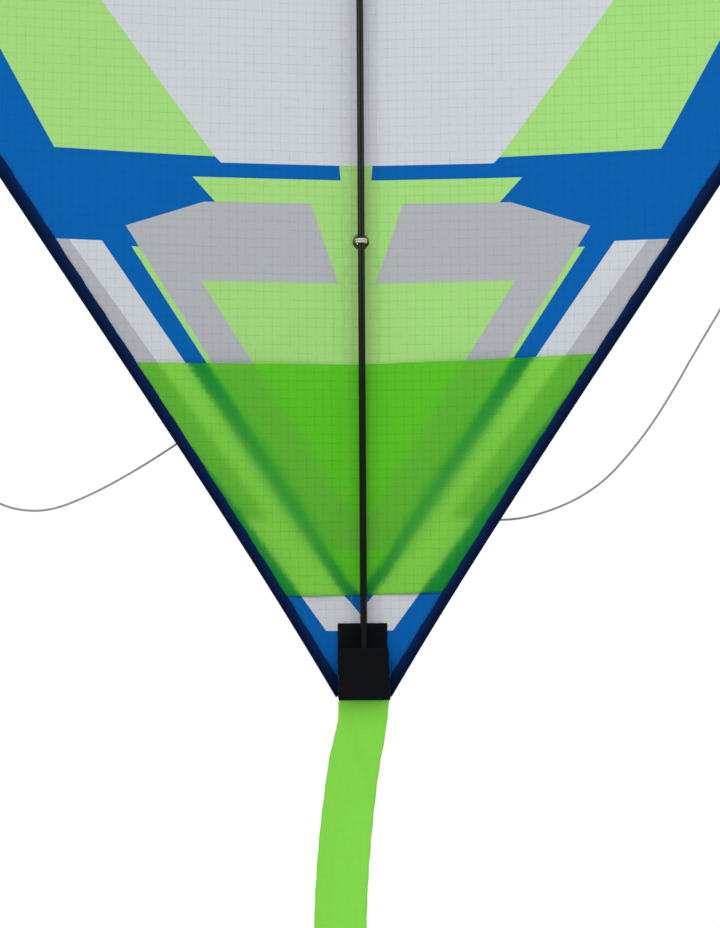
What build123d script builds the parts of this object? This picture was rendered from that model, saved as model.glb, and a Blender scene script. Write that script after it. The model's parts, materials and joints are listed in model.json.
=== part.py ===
"""A two-line diamond kite, one metre across, as an assembly of separate pieces.

Axes: +X is to the right of someone behind the kite, +Y points out of the front (bridle) side,
+Z points from the tail to the nose. The origin is where the cross spars meet the spine, on the
spine's axis. Sizes are in millimetres. Each wing is drawn flat and then turned back on its hub pin
by the dihedral, so "flat" positions are measured along the cloth from the centre line.
"""

import os
from math import cos, hypot, radians, sin, tan

from build123d import *

# ---- driving sizes ---------------------------------------------------------------------------
HALF_SPAN = 500.0  # centre line to wing tip, along the cloth
LOWER_DEPTH = 750.0  # cross spars down to the tail edge of the cloth
UPPER_DEPTH = 230.0  # cross spars up to the nose edge of the cloth
CORNER_HALF = 14.7  # half width of the cut-off nose and tail corners
DIHEDRAL = 12.0  # degrees that each wing leans back at rest

ROD_R = 2.0  # spine and cross spars
CLOTH = 0.6  # sail thickness, with its coating and seams
GAP = 0.3  # free space left between pieces that only lie together
SNUG = 0.05  # radial clearance of a push fit

HUB_HALF = 9.0  # half height of the centre hub
HUB_WALL = 2.55  # wall of the hub's sleeve round the spine
HINGE_X = 9.0  # hub pins, from the spine axis
ARM_WALL = 1.15  # wall of a socket arm round its spar
PIN_R = 1.5
ARM_HALF = 3.4  # half height of a socket arm's knuckle
ARM_LENGTH = 34.0  # from the hub pin to the arm's mouth
ARM_FLOOR = 6.0  # from the hub pin to the bottom of the socket
REST_THICK = 1.2  # the hub's plates that the arms lean on
REST_LENGTH = 20.0
REINFORCE_HALF = 13.0  # half height of the patch over the hub, on the front
REINFORCE_REACH = 24.0  # its reach beyond each hub pin
COLLAR_WALL = 2.15
COLLAR_HEIGHT = 5.0
CLOTH_ROOM = 0.2  # between the hub and the cloth in front of it

CAP_WALL = 0.5  # soft end caps on the spine
CAP_LENGTH = 14.0
TIP_CAP_WALL = 1.1  # harder caps on the cross spars
TIP_CAP_LENGTH = 20.0

WEB = 1.2  # thickness of the black webbing
POCKET_DEPTH = 36.0  # how far the nose and wing tip pockets reach in
TIP_POCKET_HALF = 9.0
PATCH_HALF = 13.9
PATCH_HEIGHT = 42.0
FLAP_HEIGHT = 27.5
GRIP_THICK = 0.6  # hook and loop strips
GRIP_INNER, GRIP_OUTER = 4.5, 13.0
GRIP_LOW, GRIP_HIGH = 14.0, 26.0  # above the tail edge
SEAM_REACH = 13.0  # sewn end of the tail ribbon, above the tail edge
SEAM_OVERHANG = 0.8  # how far it shows beyond the ribbon's own half width

TAPE_WIDTH = 6.6  # folded edge binding
TAPE_WALL = 0.5
SEAM_HALF = 9.0  # half width of the centre seam tape

PANEL_TOP = 560.0  # rear panel, below the cross spars
PANEL_BOTTOM = 692.0
PANEL_THICK = 0.5

EYELET_R = 4.7
EYELET_BORE_R = 2.6
EYELET_WALL = 0.45
EYELET_LIP = 0.6
LOWER_TIE_Z = -491.0  # lower bridle point, on the spine
WING_TIE_X = 250.0  # upper bridle points, on the cross spars
CORD_R = 0.6
KNOT_R = 1.8
TIE_ROOM = 0.12  # between a tie's turns and its rod
TIE_WAIST = 0.9  # half width of a tie where it enters its knot
RING_BORE_R = 5.0
RING_OUTER_R = 7.0
RING_THICK = 2.0
RING_OFFSET = 3.6  # the ring hangs just outside its bridle
LOOP_DROP = 9.0

TAIL_LENGTH = 1000.0
TAIL_HALF = 14.7
TAIL_THICK = 0.6
TAIL_SWAY = 14.0  # sideways reach of the tail's slow wave
TAIL_WAVE = 560.0  # length of that wave

# ---- places worked out from them -------------------------------------------------------------
HUB_SLEEVE_R = ROD_R + SNUG + HUB_WALL
KNUCKLE_R = ROD_R + SNUG + ARM_WALL
COLLAR_R = ROD_R + SNUG + COLLAR_WALL
REST_NEAR = KNUCKLE_R + SNUG
REST_FAR = REST_NEAR + REST_THICK
CLOTH_Y = max(HUB_SLEEVE_R, REST_FAR) + CLOTH_ROOM  # rear face of the cloth, in front of the rod axes
LOWER_SLOPE = (HALF_SPAN - CORNER_HALF) / LOWER_DEPTH
UPPER_SLOPE = (HALF_SPAN - CORNER_HALF) / UPPER_DEPTH
TAPE_REAR = CLOTH_Y - SNUG - TAPE_WALL
TAPE_FRONT = CLOTH_Y + CLOTH + SNUG + TAPE_WALL
WING_INNER = HINGE_X + 0.5  # where a wing's cloth starts, just outside the hub pins
PATCH_Y = CLOTH_Y - SNUG - WEB  # rear face of the tail patch
PATCH_TOP = -LOWER_DEPTH + PATCH_HEIGHT
FLAP_Y = -(ROD_R + CAP_WALL + 0.65)  # inner face of the tail flap
SPINE_LOW = -LOWER_DEPTH + WEB + GAP + CAP_WALL
SPINE_HIGH = UPPER_DEPTH - WEB - GAP - CAP_WALL
NOSE_LOW = UPPER_DEPTH - POCKET_DEPTH
TIP_OUT = HALF_SPAN - WEB - GAP - TIP_CAP_WALL  # outer end of a cross spar
KNOT_Y = CLOTH_Y + CLOTH + EYELET_LIP + SNUG + KNOT_R

os.makedirs("parts", exist_ok=True)
WRITTEN = []


def save(name, shape):
    """Write one node's solids to its own file."""
    solids = shape.solids()
    export_step(solids[0] if len(solids) == 1 else Compound(children=list(solids)), f"parts/{name}.step")
    WRITTEN.append(name)


def plate(points, y_low, y_high):
    """A flat plate whose outline is given as (x, z) points."""
    outline = Polyline(*[(x, y_low, z) for x, z in points], close=True)
    return extrude(make_face(outline), amount=y_high - y_low, dir=(0, 1, 0))


def block(low, high):
    """A box between two opposite corners."""
    size = [abs(b - a) for a, b in zip(low, high)]
    centre = [(a + b) / 2 for a, b in zip(low, high)]
    return Pos(*centre) * Box(*size)


def rod(start, end, radius):
    """A round bar between two points."""
    axis = Vector(*end) - Vector(*start)
    plane = Plane(origin=start, z_dir=axis)
    return extrude(plane * Circle(radius), amount=axis.length)


def edge_x(z):
    """Distance from the centre line to the cloth's edge at height z, on the flat."""
    if z < 0:
        return CORNER_HALF + (LOWER_DEPTH + z) * LOWER_SLOPE
    return CORNER_HALF + (UPPER_DEPTH - z) * UPPER_SLOPE


def lean(shape):
    """Turn a flat right-hand wing piece back by the dihedral."""
    return shape.rotate(Axis((HINGE_X, 0, 0), (0, 0, 1)), -DIHEDRAL)


def lean_point(x, y, z):
    """The same turn for one point."""
    turn = radians(DIHEDRAL)
    along = x - HINGE_X
    return (
        HINGE_X + along * cos(turn) + y * sin(turn),
        -along * sin(turn) + y * cos(turn),
        z,
    )


def save_pair(name, flat_shape):
    """A right-hand wing piece drawn flat, leaned back and saved, with its left-hand mirror image."""
    right = lean(flat_shape)
    save(name + "_right", right)
    save(name + "_left", mirror(right, about=Plane.YZ))


# ---- spine and its ends ----------------------------------------------------------------------
def make_spine():
    save("spine", rod((0, 0, SPINE_LOW), (0, 0, SPINE_HIGH), ROD_R))
    for name, end, way in (("spine_foot_cap", SPINE_LOW, 1), ("spine_nose_cap", SPINE_HIGH, -1)):
        outside = rod((0, 0, end - way * CAP_WALL), (0, 0, end + way * CAP_LENGTH), ROD_R + CAP_WALL)
        inside = rod((0, 0, end), (0, 0, end + way * (CAP_LENGTH + 1)), ROD_R)
        save(name, outside - inside)


def make_nose_pocket():
    """Webbing folded over the nose, holding the spine's top end."""
    rear, front = FLAP_Y, TAPE_FRONT + GAP
    outside = block((-PATCH_HALF, rear - WEB, NOSE_LOW), (PATCH_HALF, front + WEB, UPPER_DEPTH))
    inside = block((-PATCH_HALF - 1, rear, NOSE_LOW - 1), (PATCH_HALF + 1, front, UPPER_DEPTH - WEB))
    save("nose_pocket", outside - inside)


def save_grips(name, rear, front):
    """A pair of hook or loop strips, one on each side of the spine."""
    low, high = GRIP_LOW - LOWER_DEPTH, GRIP_HIGH - LOWER_DEPTH
    left = block((-GRIP_OUTER, rear, low), (-GRIP_INNER, front, high))
    right = block((GRIP_INNER, rear, low), (GRIP_OUTER, front, high))
    save(name, left + right)


def make_tail_patch():
    """Webbing behind the cloth at the tail, with a sill that the flap hangs on."""
    low, sill_end = -LOWER_DEPTH, FLAP_Y + 0.2
    back = block((-PATCH_HALF, PATCH_Y, low), (PATCH_HALF, PATCH_Y + WEB, PATCH_TOP))
    sill = block((-PATCH_HALF, sill_end, low), (PATCH_HALF, PATCH_Y, low + WEB))
    save("tail_patch", back + sill)
    save_grips("loop_strips", PATCH_Y - GRIP_THICK, PATCH_Y)
    wide, rear = TAIL_HALF + SEAM_OVERHANG, PATCH_Y - GRIP_THICK
    save("tail_seam", block((-wide, rear, low + WEB + SNUG), (wide, PATCH_Y - SNUG, low + SEAM_REACH)))


def make_tail_flap():
    """The flap that folds up over the spine's foot; its lower edge is round about the hinge line."""
    low, hinge_y = -LOWER_DEPTH + WEB / 2, FLAP_Y - WEB / 2
    wide, narrow = CORNER_HALF, PATCH_HALF + GAP
    sheet = plate(
        [(-wide, low), (wide, low), (narrow, low + FLAP_HEIGHT), (-narrow, low + FLAP_HEIGHT)],
        FLAP_Y - WEB,
        FLAP_Y,
    )
    save("tail_flap", sheet + rod((-wide, hinge_y, low), (wide, hinge_y, low), WEB / 2))
    save_grips("hook_strips", FLAP_Y, FLAP_Y + GRIP_THICK)


def make_tail_ribbon():
    """The tail: a thin ribbon whose edges follow one slow wave."""
    top, low = -LOWER_DEPTH - GAP, -LOWER_DEPTH - TAIL_LENGTH
    step = TAIL_WAVE / 8
    count = round((top - low) / step)
    heights = [top + (low - top) * i / count for i in range(count + 1)]

    def side(sign):
        sways = [-TAIL_SWAY * sin(radians(360) * (top - z) / TAIL_WAVE) for z in heights]
        return [(sway + sign * TAIL_HALF, PATCH_Y, z) for sway, z in zip(sways, heights)]

    left, right = side(-1), side(1)
    face = make_face([Spline(*left), Spline(*right), Line(left[0], right[0]), Line(left[-1], right[-1])])
    save("tail_ribbon", extrude(face, amount=TAIL_THICK, dir=(0, 1, 0)))


# ---- centre hub ------------------------------------------------------------------------------
def make_hub():
    """A sleeve on the spine with two pairs of ears, and plates that the socket arms lean on."""
    body = rod((0, 0, -HUB_HALF), (0, 0, HUB_HALF), HUB_SLEEVE_R)
    slot = ARM_HALF + GAP
    for side in (-1, 1):
        for low, high in ((-HUB_HALF, -slot), (slot, HUB_HALF)):
            body += rod((side * HINGE_X, 0, low), (side * HINGE_X, 0, high), KNUCKLE_R)
            body += block((min(0, side * HINGE_X), -KNUCKLE_R, low), (max(0, side * HINGE_X), KNUCKLE_R, high))
    rest = lean(block((HINGE_X + 2, REST_NEAR, -HUB_HALF), (HINGE_X + REST_LENGTH, REST_FAR, HUB_HALF)))
    root = block((0, KNUCKLE_R - 0.4, -HUB_HALF), (HINGE_X + 3, REST_FAR - 0.3, -slot))
    root += block((0, KNUCKLE_R - 0.4, slot), (HINGE_X + 3, REST_FAR - 0.3, HUB_HALF))
    half = rest + root
    body += half
    body += mirror(half, about=Plane.YZ)
    body -= rod((0, 0, -HUB_HALF - 1), (0, 0, HUB_HALF + 1), ROD_R + SNUG)
    for side in (-1, 1):
        body -= rod((side * HINGE_X, 0, -HUB_HALF - 1), (side * HINGE_X, 0, HUB_HALF + 1), PIN_R)
        pin = rod((side * HINGE_X, 0, -HUB_HALF), (side * HINGE_X, 0, HUB_HALF), PIN_R)
        save("hub_pin_right" if side > 0 else "hub_pin_left", pin)
    save("hub_body", body)


def make_collars():
    """Two collars that keep the hub at its place on the spine."""
    for name, way in (("hub_collar_upper", 1), ("hub_collar_lower", -1)):
        near, far = way * (HUB_HALF + SNUG), way * (HUB_HALF + SNUG + COLLAR_HEIGHT)
        ring = rod((0, 0, near), (0, 0, far), COLLAR_R)
        save(name, ring - rod((0, 0, near - way), (0, 0, far + way), ROD_R + SNUG))


def make_socket_arms():
    """The hinged sockets that the cross spars push into."""
    knuckle = rod((HINGE_X, 0, -ARM_HALF), (HINGE_X, 0, ARM_HALF), KNUCKLE_R)
    barrel = rod((HINGE_X, 0, 0), (HINGE_X + ARM_LENGTH, 0, 0), KNUCKLE_R)
    arm = knuckle + barrel
    arm -= rod((HINGE_X + ARM_FLOOR, 0, 0), (HINGE_X + ARM_LENGTH + 1, 0, 0), ROD_R + SNUG)
    arm -= rod((HINGE_X, 0, -ARM_HALF - 1), (HINGE_X, 0, ARM_HALF + 1), PIN_R + SNUG)
    save_pair("socket_arm", arm)


# ---- wings -----------------------------------------------------------------------------------
def make_spars():
    spar = rod((HINGE_X + ARM_FLOOR + GAP, 0, 0), (TIP_OUT, 0, 0), ROD_R)
    save_pair("cross_spar", spar)
    outside = rod((TIP_OUT - TIP_CAP_LENGTH, 0, 0), (TIP_OUT + TIP_CAP_WALL, 0, 0), ROD_R + TIP_CAP_WALL)
    save_pair("tip_cap", outside - rod((TIP_OUT - TIP_CAP_LENGTH - 1, 0, 0), (TIP_OUT, 0, 0), ROD_R))


def make_tip_pockets():
    """Webbing folded over each wing tip, holding the capped end of the cross spar."""
    inner = HALF_SPAN - POCKET_DEPTH
    rear, front = -(ROD_R + TIP_CAP_WALL + GAP), TAPE_FRONT + GAP
    outside = block((inner, rear - WEB, -TIP_POCKET_HALF), (HALF_SPAN, front + WEB, TIP_POCKET_HALF))
    inside = block((inner - 1, rear, -TIP_POCKET_HALF - 1), (HALF_SPAN - WEB, front, TIP_POCKET_HALF + 1))
    save_pair("tip_pocket", outside - inside)


def wing_outline(inset):
    """Corners (x, z) of a wing's cloth, taken in from the folded edge and clear of the pockets."""
    lower = inset * hypot(1, LOWER_SLOPE)  # the inset, measured along X at each edge
    upper = inset * hypot(1, UPPER_SLOPE)
    side = CORNER_HALF + 2  # the cloth starts here beside the nose and tail webbing
    tip = HALF_SPAN - WEB - 2
    tail_step, nose_step = PATCH_TOP + 1, NOSE_LOW - 1
    return [
        (WING_INNER, tail_step),
        (side, tail_step),
        (side, (side + lower - CORNER_HALF) / LOWER_SLOPE - LOWER_DEPTH),
        (tip, (tip + lower - HALF_SPAN) / LOWER_SLOPE),
        (tip, (HALF_SPAN - tip - upper) / UPPER_SLOPE),
        (side, UPPER_DEPTH - (side + upper - CORNER_HALF) / UPPER_SLOPE),
        (side, nose_step),
        (WING_INNER, nose_step),
    ]


def eyelet_hole(x, z):
    return rod((x, CLOTH_Y - 1, z), (x, CLOTH_Y + CLOTH + 1, z), EYELET_BORE_R + EYELET_WALL + SNUG)


def make_sails():
    sail = plate(wing_outline(TAPE_WALL + SNUG), CLOTH_Y, CLOTH_Y + CLOTH)
    sail -= eyelet_hole(WING_TIE_X, 0)
    room = HUB_HALF + 0.6
    save_pair("sail", sail - block((0, 0, -room), (HINGE_X + REST_LENGTH + 0.6, 9, room)))


def make_seam_tape():
    low, high = SPINE_LOW, SPINE_HIGH
    strip = block((-SEAM_HALF, CLOTH_Y, low), (SEAM_HALF, CLOTH_Y + CLOTH, high))
    save("centre_seam_tape", strip - eyelet_hole(0, LOWER_TIE_Z))


def make_centre_patch():
    """Webbing on the front over the hub, bent along the two pins to follow the wings."""
    near, far = CLOTH_Y + CLOTH + SNUG, CLOTH_Y + CLOTH + SNUG + WEB
    wing = block((HINGE_X, near, -REINFORCE_HALF), (HINGE_X + REINFORCE_REACH, far, REINFORCE_HALF))
    corner = rod((HINGE_X, 0, -REINFORCE_HALF), (HINGE_X, 0, REINFORCE_HALF), far)
    corner -= rod((HINGE_X, 0, -REINFORCE_HALF), (HINGE_X, 0, REINFORCE_HALF), near)
    corner &= block((HINGE_X, 0, -REINFORCE_HALF), (HINGE_X + 5, far + 1, REINFORCE_HALF))
    corner -= lean(block((HINGE_X, -far, -REINFORCE_HALF), (HINGE_X + 20, far + 1, REINFORCE_HALF)))
    half = lean(wing) + corner
    middle = block((-HINGE_X, near, -REINFORCE_HALF), (HINGE_X, far, REINFORCE_HALF))
    save("centre_patch", middle + half + mirror(half, about=Plane.YZ))


def edge_tape(z_end):
    """Folded binding along the edge from the wing tip to height z_end, as a long U around the cloth."""
    sign = 1 if z_end > 0 else -1
    slope = UPPER_SLOPE if z_end > 0 else LOWER_SLOPE
    start_x, end_x = HALF_SPAN - POCKET_DEPTH - GAP, CORNER_HALF + 2

    def strip(outer, inner, y_low, y_high):
        corners = []
        for x, inset in ((start_x, outer), (end_x, outer), (end_x, inner), (start_x, inner)):
            corners.append((x, z_end - sign * (x + inset * hypot(1, slope) - CORNER_HALF) / slope))
        return plate(corners, y_low, y_high)

    outside = strip(0, TAPE_WIDTH, TAPE_REAR, TAPE_FRONT)
    return outside - strip(TAPE_WALL, TAPE_WIDTH + 1, CLOTH_Y - SNUG, CLOTH_Y + CLOTH + SNUG)


def make_edge_tapes():
    save_pair("lower_edge_tape", edge_tape(-LOWER_DEPTH))
    save_pair("upper_edge_tape", edge_tape(UPPER_DEPTH))


def make_rear_panels():
    """The second layer across the back of the tail end, between the edge tapes and under the spine."""
    front = TAPE_REAR - SNUG
    corners = [
        (WING_INNER, -PANEL_TOP),
        (WING_INNER, -PANEL_BOTTOM),
        (edge_x(-PANEL_BOTTOM) - 1, -PANEL_BOTTOM),
        (edge_x(-PANEL_TOP) - 1, -PANEL_TOP),
    ]
    save_pair("rear_panel", plate(corners, front - PANEL_THICK, front))


# ---- bridle points ---------------------------------------------------------------------------
def eyelet(x, z):
    """A brass eyelet: a barrel through the cloth with a lip on each side."""
    rear, front = CLOTH_Y - SNUG, CLOTH_Y + CLOTH + SNUG
    shape = rod((x, rear - EYELET_LIP, z), (x, front + EYELET_LIP, z), EYELET_BORE_R + EYELET_WALL)
    shape += rod((x, rear - EYELET_LIP, z), (x, rear, z), EYELET_R)
    shape += rod((x, front, z), (x, front + EYELET_LIP, z), EYELET_R)
    return shape - rod((x, rear - 2, z), (x, front + 2, z), EYELET_BORE_R)


def tie(x, z, lies_along_x):
    """Two turns of cord round a rod, through the eyelet in front of it, ending in a knot."""
    turn_r = ROD_R + TIE_ROOM + CORD_R
    shape = Pos(0, KNOT_Y, 0) * Sphere(KNOT_R)
    for shift in (-CORD_R - SNUG, CORD_R + SNUG):
        turn = Pos(0, 0, shift) * Torus(turn_r, CORD_R)
        shape += turn - block((-10, 0, -10), (10, 10, 10))
        for side in (-1, 1):
            elbow = (side * turn_r, 0, shift)
            shape += Pos(*elbow) * Sphere(CORD_R + 0.03)
            shape += rod(elbow, (side * TIE_WAIST, KNOT_Y, shift), CORD_R - 0.03)
    if lies_along_x:
        shape = shape.rotate(Axis.Y, 90)
    return Pos(x, 0, z) * shape


def make_bridle_points():
    save("lower_eyelet", eyelet(0, LOWER_TIE_Z))
    save("lower_tie", tie(0, LOWER_TIE_Z, False))
    save_pair("wing_eyelet", eyelet(WING_TIE_X, 0))
    save_pair("wing_tie", tie(WING_TIE_X, 0, True))


# ---- bridles ---------------------------------------------------------------------------------
# Each bridle hangs slack from its wing tie, along the front of the wing, turns below the edge of
# the cloth and climbs to the tie on the spine. Points are (x, y, z), from the wing to the spine.
LEFT_UPPER = [
    (-247.5, -41.0, -42.0),
    (-249.2, -38.6, -84.0),
    (-250.2, -36.8, -137.0),
    (-252.2, -35.2, -190.0),
    (-252.8, -33.8, -245.0),
    (-254.6, -32.6, -300.0),
    (-254.8, -31.6, -355.0),
    (-256.2, -30.6, -407.0),
    (-256.0, -29.8, -455.0),
]
LEFT_LOWER = [
    (-256.9, -28.6, -511.0),
    (-253.5, -27.2, -552.0),
    (-245.0, -25.2, -591.0),
    (-229.0, -22.0, -621.5),
    (-204.0, -18.0, -642.0),
    (-178.0, -12.0, -645.5),
    (-151.5, -6.0, -634.5),
    (-126.0, 0.0, -620.0),
    (-101.0, 5.5, -603.5),
    (-76.0, 9.5, -583.5),
    (-51.0, 12.0, -560.0),
    (-27.0, 12.5, -533.0),
    (-9.5, 10.6, -508.0),
]
RIGHT_UPPER = [
    (247.5, -41.0, -42.0),
    (249.6, -38.8, -84.0),
    (250.6, -37.0, -137.0),
    (252.4, -35.4, -190.0),
    (252.2, -34.0, -245.0),
    (252.4, -32.6, -300.0),
    (250.0, -31.2, -352.0),
    (244.6, -29.6, -399.0),
    (236.6, -28.0, -440.0),
]
RIGHT_LOWER = [
    (221.0, -25.5, -494.0),
    (206.0, -22.7, -525.0),
    (187.5, -19.5, -555.5),
    (171.5, -15.5, -584.0),
    (154.5, -11.0, -609.0),
    (134.0, -6.0, -631.5),
    (108.5, -1.0, -645.0),
    (81.0, 5.0, -651.0),
    (54.5, 10.0, -647.0),
    (34.0, 13.0, -629.5),
    (20.5, 14.5, -604.0),
    (12.5, 14.5, -575.0),
    (8.0, 13.0, -544.0),
    (4.6, 10.6, -515.0),
]


def cord_tube(name, points):
    """A plain tube along straight runs, each corner rounded as far as its two runs allow."""
    vectors = [Vector(*p) for p in points]
    radii = []
    for before, corner, after in zip(vectors, vectors[1:], vectors[2:]):
        run_in, run_out = corner - before, after - corner
        turn = radians(run_in.get_angle(run_out))
        radii.append(0.45 * min(run_in.length, run_out.length) / tan(turn / 2))
    path = FilletPolyline(*vectors, radius=radii)
    tube = sweep((path ^ 0) * Circle(CORD_R), path=path)
    print(
        name,
        "length", round(path.length, 1),
        "volume over section times length", round(tube.volume / (Circle(CORD_R).area * path.length), 3),
        "least radius", round(min(radii), 1),
    )
    save(name, tube)


def tow_point(tow, side):
    """A knot where a bridle's two legs meet, and the ring that hangs from it for a flying line."""
    x, y, z = tow
    out_x = x + side * RING_OFFSET
    low_z = z - KNOT_R - LOOP_DROP
    shape = Pos(x, y, z) * Rot(0, 0, 90) * Sphere(KNOT_R)
    shape += rod((x, y, z), (out_x, y, z), CORD_R - 0.03)
    shape += Pos(out_x, y, z) * Sphere(CORD_R + 0.03)
    shape += rod((out_x, y, z), (out_x, y, low_z), CORD_R - 0.03)
    ring_z = low_z - RING_OUTER_R
    near = out_x - RING_THICK / 2
    ring = rod((near, y, ring_z), (near + RING_THICK, y, ring_z), RING_OUTER_R)
    ring -= rod((near - 1, y, ring_z), (near + RING_THICK + 1, y, ring_z), RING_BORE_R)
    print("tow ring centre", round(out_x, 3), round(y, 3), round(ring_z, 3))
    return shape, ring


def make_bridles():
    low_knot = Vector(0, KNOT_Y, LOWER_TIE_Z)
    for side, word, upper, lower in ((-1, "left", LEFT_UPPER, LEFT_LOWER), (1, "right", RIGHT_UPPER, RIGHT_LOWER)):
        x, y, z = lean_point(WING_TIE_X, KNOT_Y, 0)
        wing_exit = (side * x, y, z - KNOT_R - GAP)
        spine_exit = Vector(*lower[-1])
        toward = (spine_exit - low_knot).normalized()
        spine_end = low_knot + toward * (KNOT_R + GAP)
        tow_knot = Vector(*upper[-1]) + (Vector(*lower[0]) - Vector(*upper[-1])) * 0.5
        way = (Vector(*lower[0]) - Vector(*upper[-1])).normalized()
        room = KNOT_R + GAP
        cord_tube("bridle_upper_" + word, [wing_exit, *upper, tuple(tow_knot - way * room)])
        cord_tube("bridle_lower_" + word, [tuple(tow_knot + way * room), *lower, tuple(spine_end)])
        knot, ring = tow_point(tuple(tow_knot), side)
        save("tow_knot_" + word, knot)
        save("tow_ring_" + word, ring)


make_spine()
make_nose_pocket()
make_tail_patch()
make_tail_flap()
make_tail_ribbon()
make_hub()
make_centre_patch()
make_collars()
make_socket_arms()
make_spars()
make_tip_pockets()
make_sails()
make_seam_tape()
make_edge_tapes()
make_rear_panels()
make_bridle_points()
make_bridles()
print(len(WRITTEN), "nodes")
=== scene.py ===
# %% [markdown]
# # A two-line diamond kite
#
# The kite hangs nose up, seen from behind, where its rods are. +X is to the right, +Y is out of the
# front (bridle) side, +Z is up, and the origin is where the cross spars meet the spine. Everything is in
# metres. The rods, hub, caps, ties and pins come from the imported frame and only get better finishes.
# The cloth, tapes, webbing, eyelets, cords and tail are made here, around that frame.

# %% Load the frame
import json

import bmesh
import bpy
import numpy as np
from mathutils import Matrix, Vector
from mathutils.geometry import delaunay_2d_cdt

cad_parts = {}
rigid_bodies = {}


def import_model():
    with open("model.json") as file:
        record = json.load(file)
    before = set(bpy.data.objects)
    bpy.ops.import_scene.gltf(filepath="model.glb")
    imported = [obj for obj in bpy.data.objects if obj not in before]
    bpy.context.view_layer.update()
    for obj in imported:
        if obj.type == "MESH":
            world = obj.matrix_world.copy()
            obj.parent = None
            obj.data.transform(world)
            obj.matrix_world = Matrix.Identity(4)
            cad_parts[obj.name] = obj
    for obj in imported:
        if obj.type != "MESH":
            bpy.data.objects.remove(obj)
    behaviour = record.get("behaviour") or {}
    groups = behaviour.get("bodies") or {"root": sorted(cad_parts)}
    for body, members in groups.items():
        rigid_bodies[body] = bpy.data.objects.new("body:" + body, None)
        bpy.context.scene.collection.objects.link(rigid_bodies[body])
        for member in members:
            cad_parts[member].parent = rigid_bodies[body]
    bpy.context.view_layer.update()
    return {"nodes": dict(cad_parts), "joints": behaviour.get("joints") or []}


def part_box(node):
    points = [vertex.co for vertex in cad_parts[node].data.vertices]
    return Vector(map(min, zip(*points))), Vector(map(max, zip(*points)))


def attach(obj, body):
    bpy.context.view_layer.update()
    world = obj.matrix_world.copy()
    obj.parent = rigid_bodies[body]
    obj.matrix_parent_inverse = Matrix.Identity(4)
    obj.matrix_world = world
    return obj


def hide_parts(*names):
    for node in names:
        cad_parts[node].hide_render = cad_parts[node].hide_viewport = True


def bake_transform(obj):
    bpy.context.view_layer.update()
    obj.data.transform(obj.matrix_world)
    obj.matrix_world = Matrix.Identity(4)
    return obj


for leftover in list(bpy.data.objects):
    bpy.data.objects.remove(leftover)
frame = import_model()
MM = 0.001

# %% [markdown]
# Every place is measured on the frame. A wing is a flat sheet turned back about its hub pin, so the
# lean comes from the long direction of a cross spar, and the half span from its tip pocket's reach.

# %% Sizes read off the frame
joints = {joint["name"]: joint for joint in frame["joints"]}
HINGE = joints["right_wing_fold"]["pos_m"][0]


def points_of(piece):
    """All corners of a piece's mesh, as an array of (x, y, z)."""
    mesh = piece.data
    flat = np.empty(3 * len(mesh.vertices), np.float32)
    mesh.vertices.foreach_get("co", flat)
    return flat.reshape(-1, 3).astype(float)


def node_points(node):
    return points_of(frame["nodes"][node])


def node_box(node):
    return np.array(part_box(node), float)


spar = node_points("cross_spar_right")
spar_way = np.linalg.svd(spar - spar.mean(0), full_matrices=False)[2][0]
LEAN = float(np.arctan2(abs(spar_way[1]), abs(spar_way[0])))
tip = node_points("tip_pocket_right")
HALF_SPAN = HINGE + float(((tip[:, 0] - HINGE) * np.cos(LEAN) - tip[:, 1] * np.sin(LEAN)).max())
TAIL_EDGE = node_box("tail_patch")[0][2]
NOSE_EDGE = node_box("nose_pocket")[1][2]
CORNER = node_box("tail_flap")[1][0]
CLOTH_Y = float(node_box("centre_seam_tape")[:, 1].mean())
print("lean", round(np.degrees(LEAN), 2), "degrees, half span", round(HALF_SPAN, 4), "m")
print("cloth at y", round(CLOTH_Y, 5), "m")


def edge_at(up):
    """Half width of the cloth at height up: straight lines from the tip to the cut-off tail and nose corners."""
    lower = CORNER + (up - TAIL_EDGE) * (HALF_SPAN - CORNER) / -TAIL_EDGE
    upper = CORNER + (NOSE_EDGE - up) * (HALF_SPAN - CORNER) / NOSE_EDGE
    return np.where(up < 0, lower, upper)


# %% [markdown]
# ## Camera and room
#
# The camera stands behind the kite, a little to the left and a little low, and looks at the tail end.
# A long lens keeps the cloth's lines nearly parallel. The room is a pale floor under a white sky, with
# three large soft lamps: two on the camera's side, and one in front of the kite that shines through the
# cloth.

# %% Camera
LOOK_AT = Vector((-0.0015, 0.0, -0.618))
CAMERA_AT = Vector((-0.0926, -1.6952, -0.7069))
VIEW_HEIGHT = 525.248 * MM
SENSOR_MM, LENS_TURN = 24.0, -0.36
camera_data = bpy.data.cameras.new("camera")
camera_data.sensor_fit = "VERTICAL"
camera_data.sensor_height = SENSOR_MM
camera_data.lens = SENSOR_MM * (LOOK_AT - CAMERA_AT).length / VIEW_HEIGHT
camera_data.clip_start = 0.01
camera = bpy.data.objects.new("camera", camera_data)
bpy.context.collection.objects.link(camera)
camera.location = CAMERA_AT
camera.rotation_euler = (LOOK_AT - CAMERA_AT).to_track_quat("-Z", "Y").to_euler()
camera.rotation_euler.rotate_axis("Z", np.radians(LENS_TURN))
bpy.context.scene.camera = camera
print("camera lens", round(camera_data.lens, 1), "mm")


# %% Mesh helpers
def grid_quads(rows, columns, wrap=False):
    """Quads of a grid of points numbered row by row; wrap joins the last column to the first."""
    across = np.arange(columns if wrap else columns - 1)
    here = (np.arange(rows - 1)[:, None] * columns + across[None, :]).ravel()
    beside = (np.arange(rows - 1)[:, None] * columns + ((across + 1) % columns)[None, :]).ravel()
    return np.stack([here, beside, beside + columns, here + columns], 1)


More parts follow.
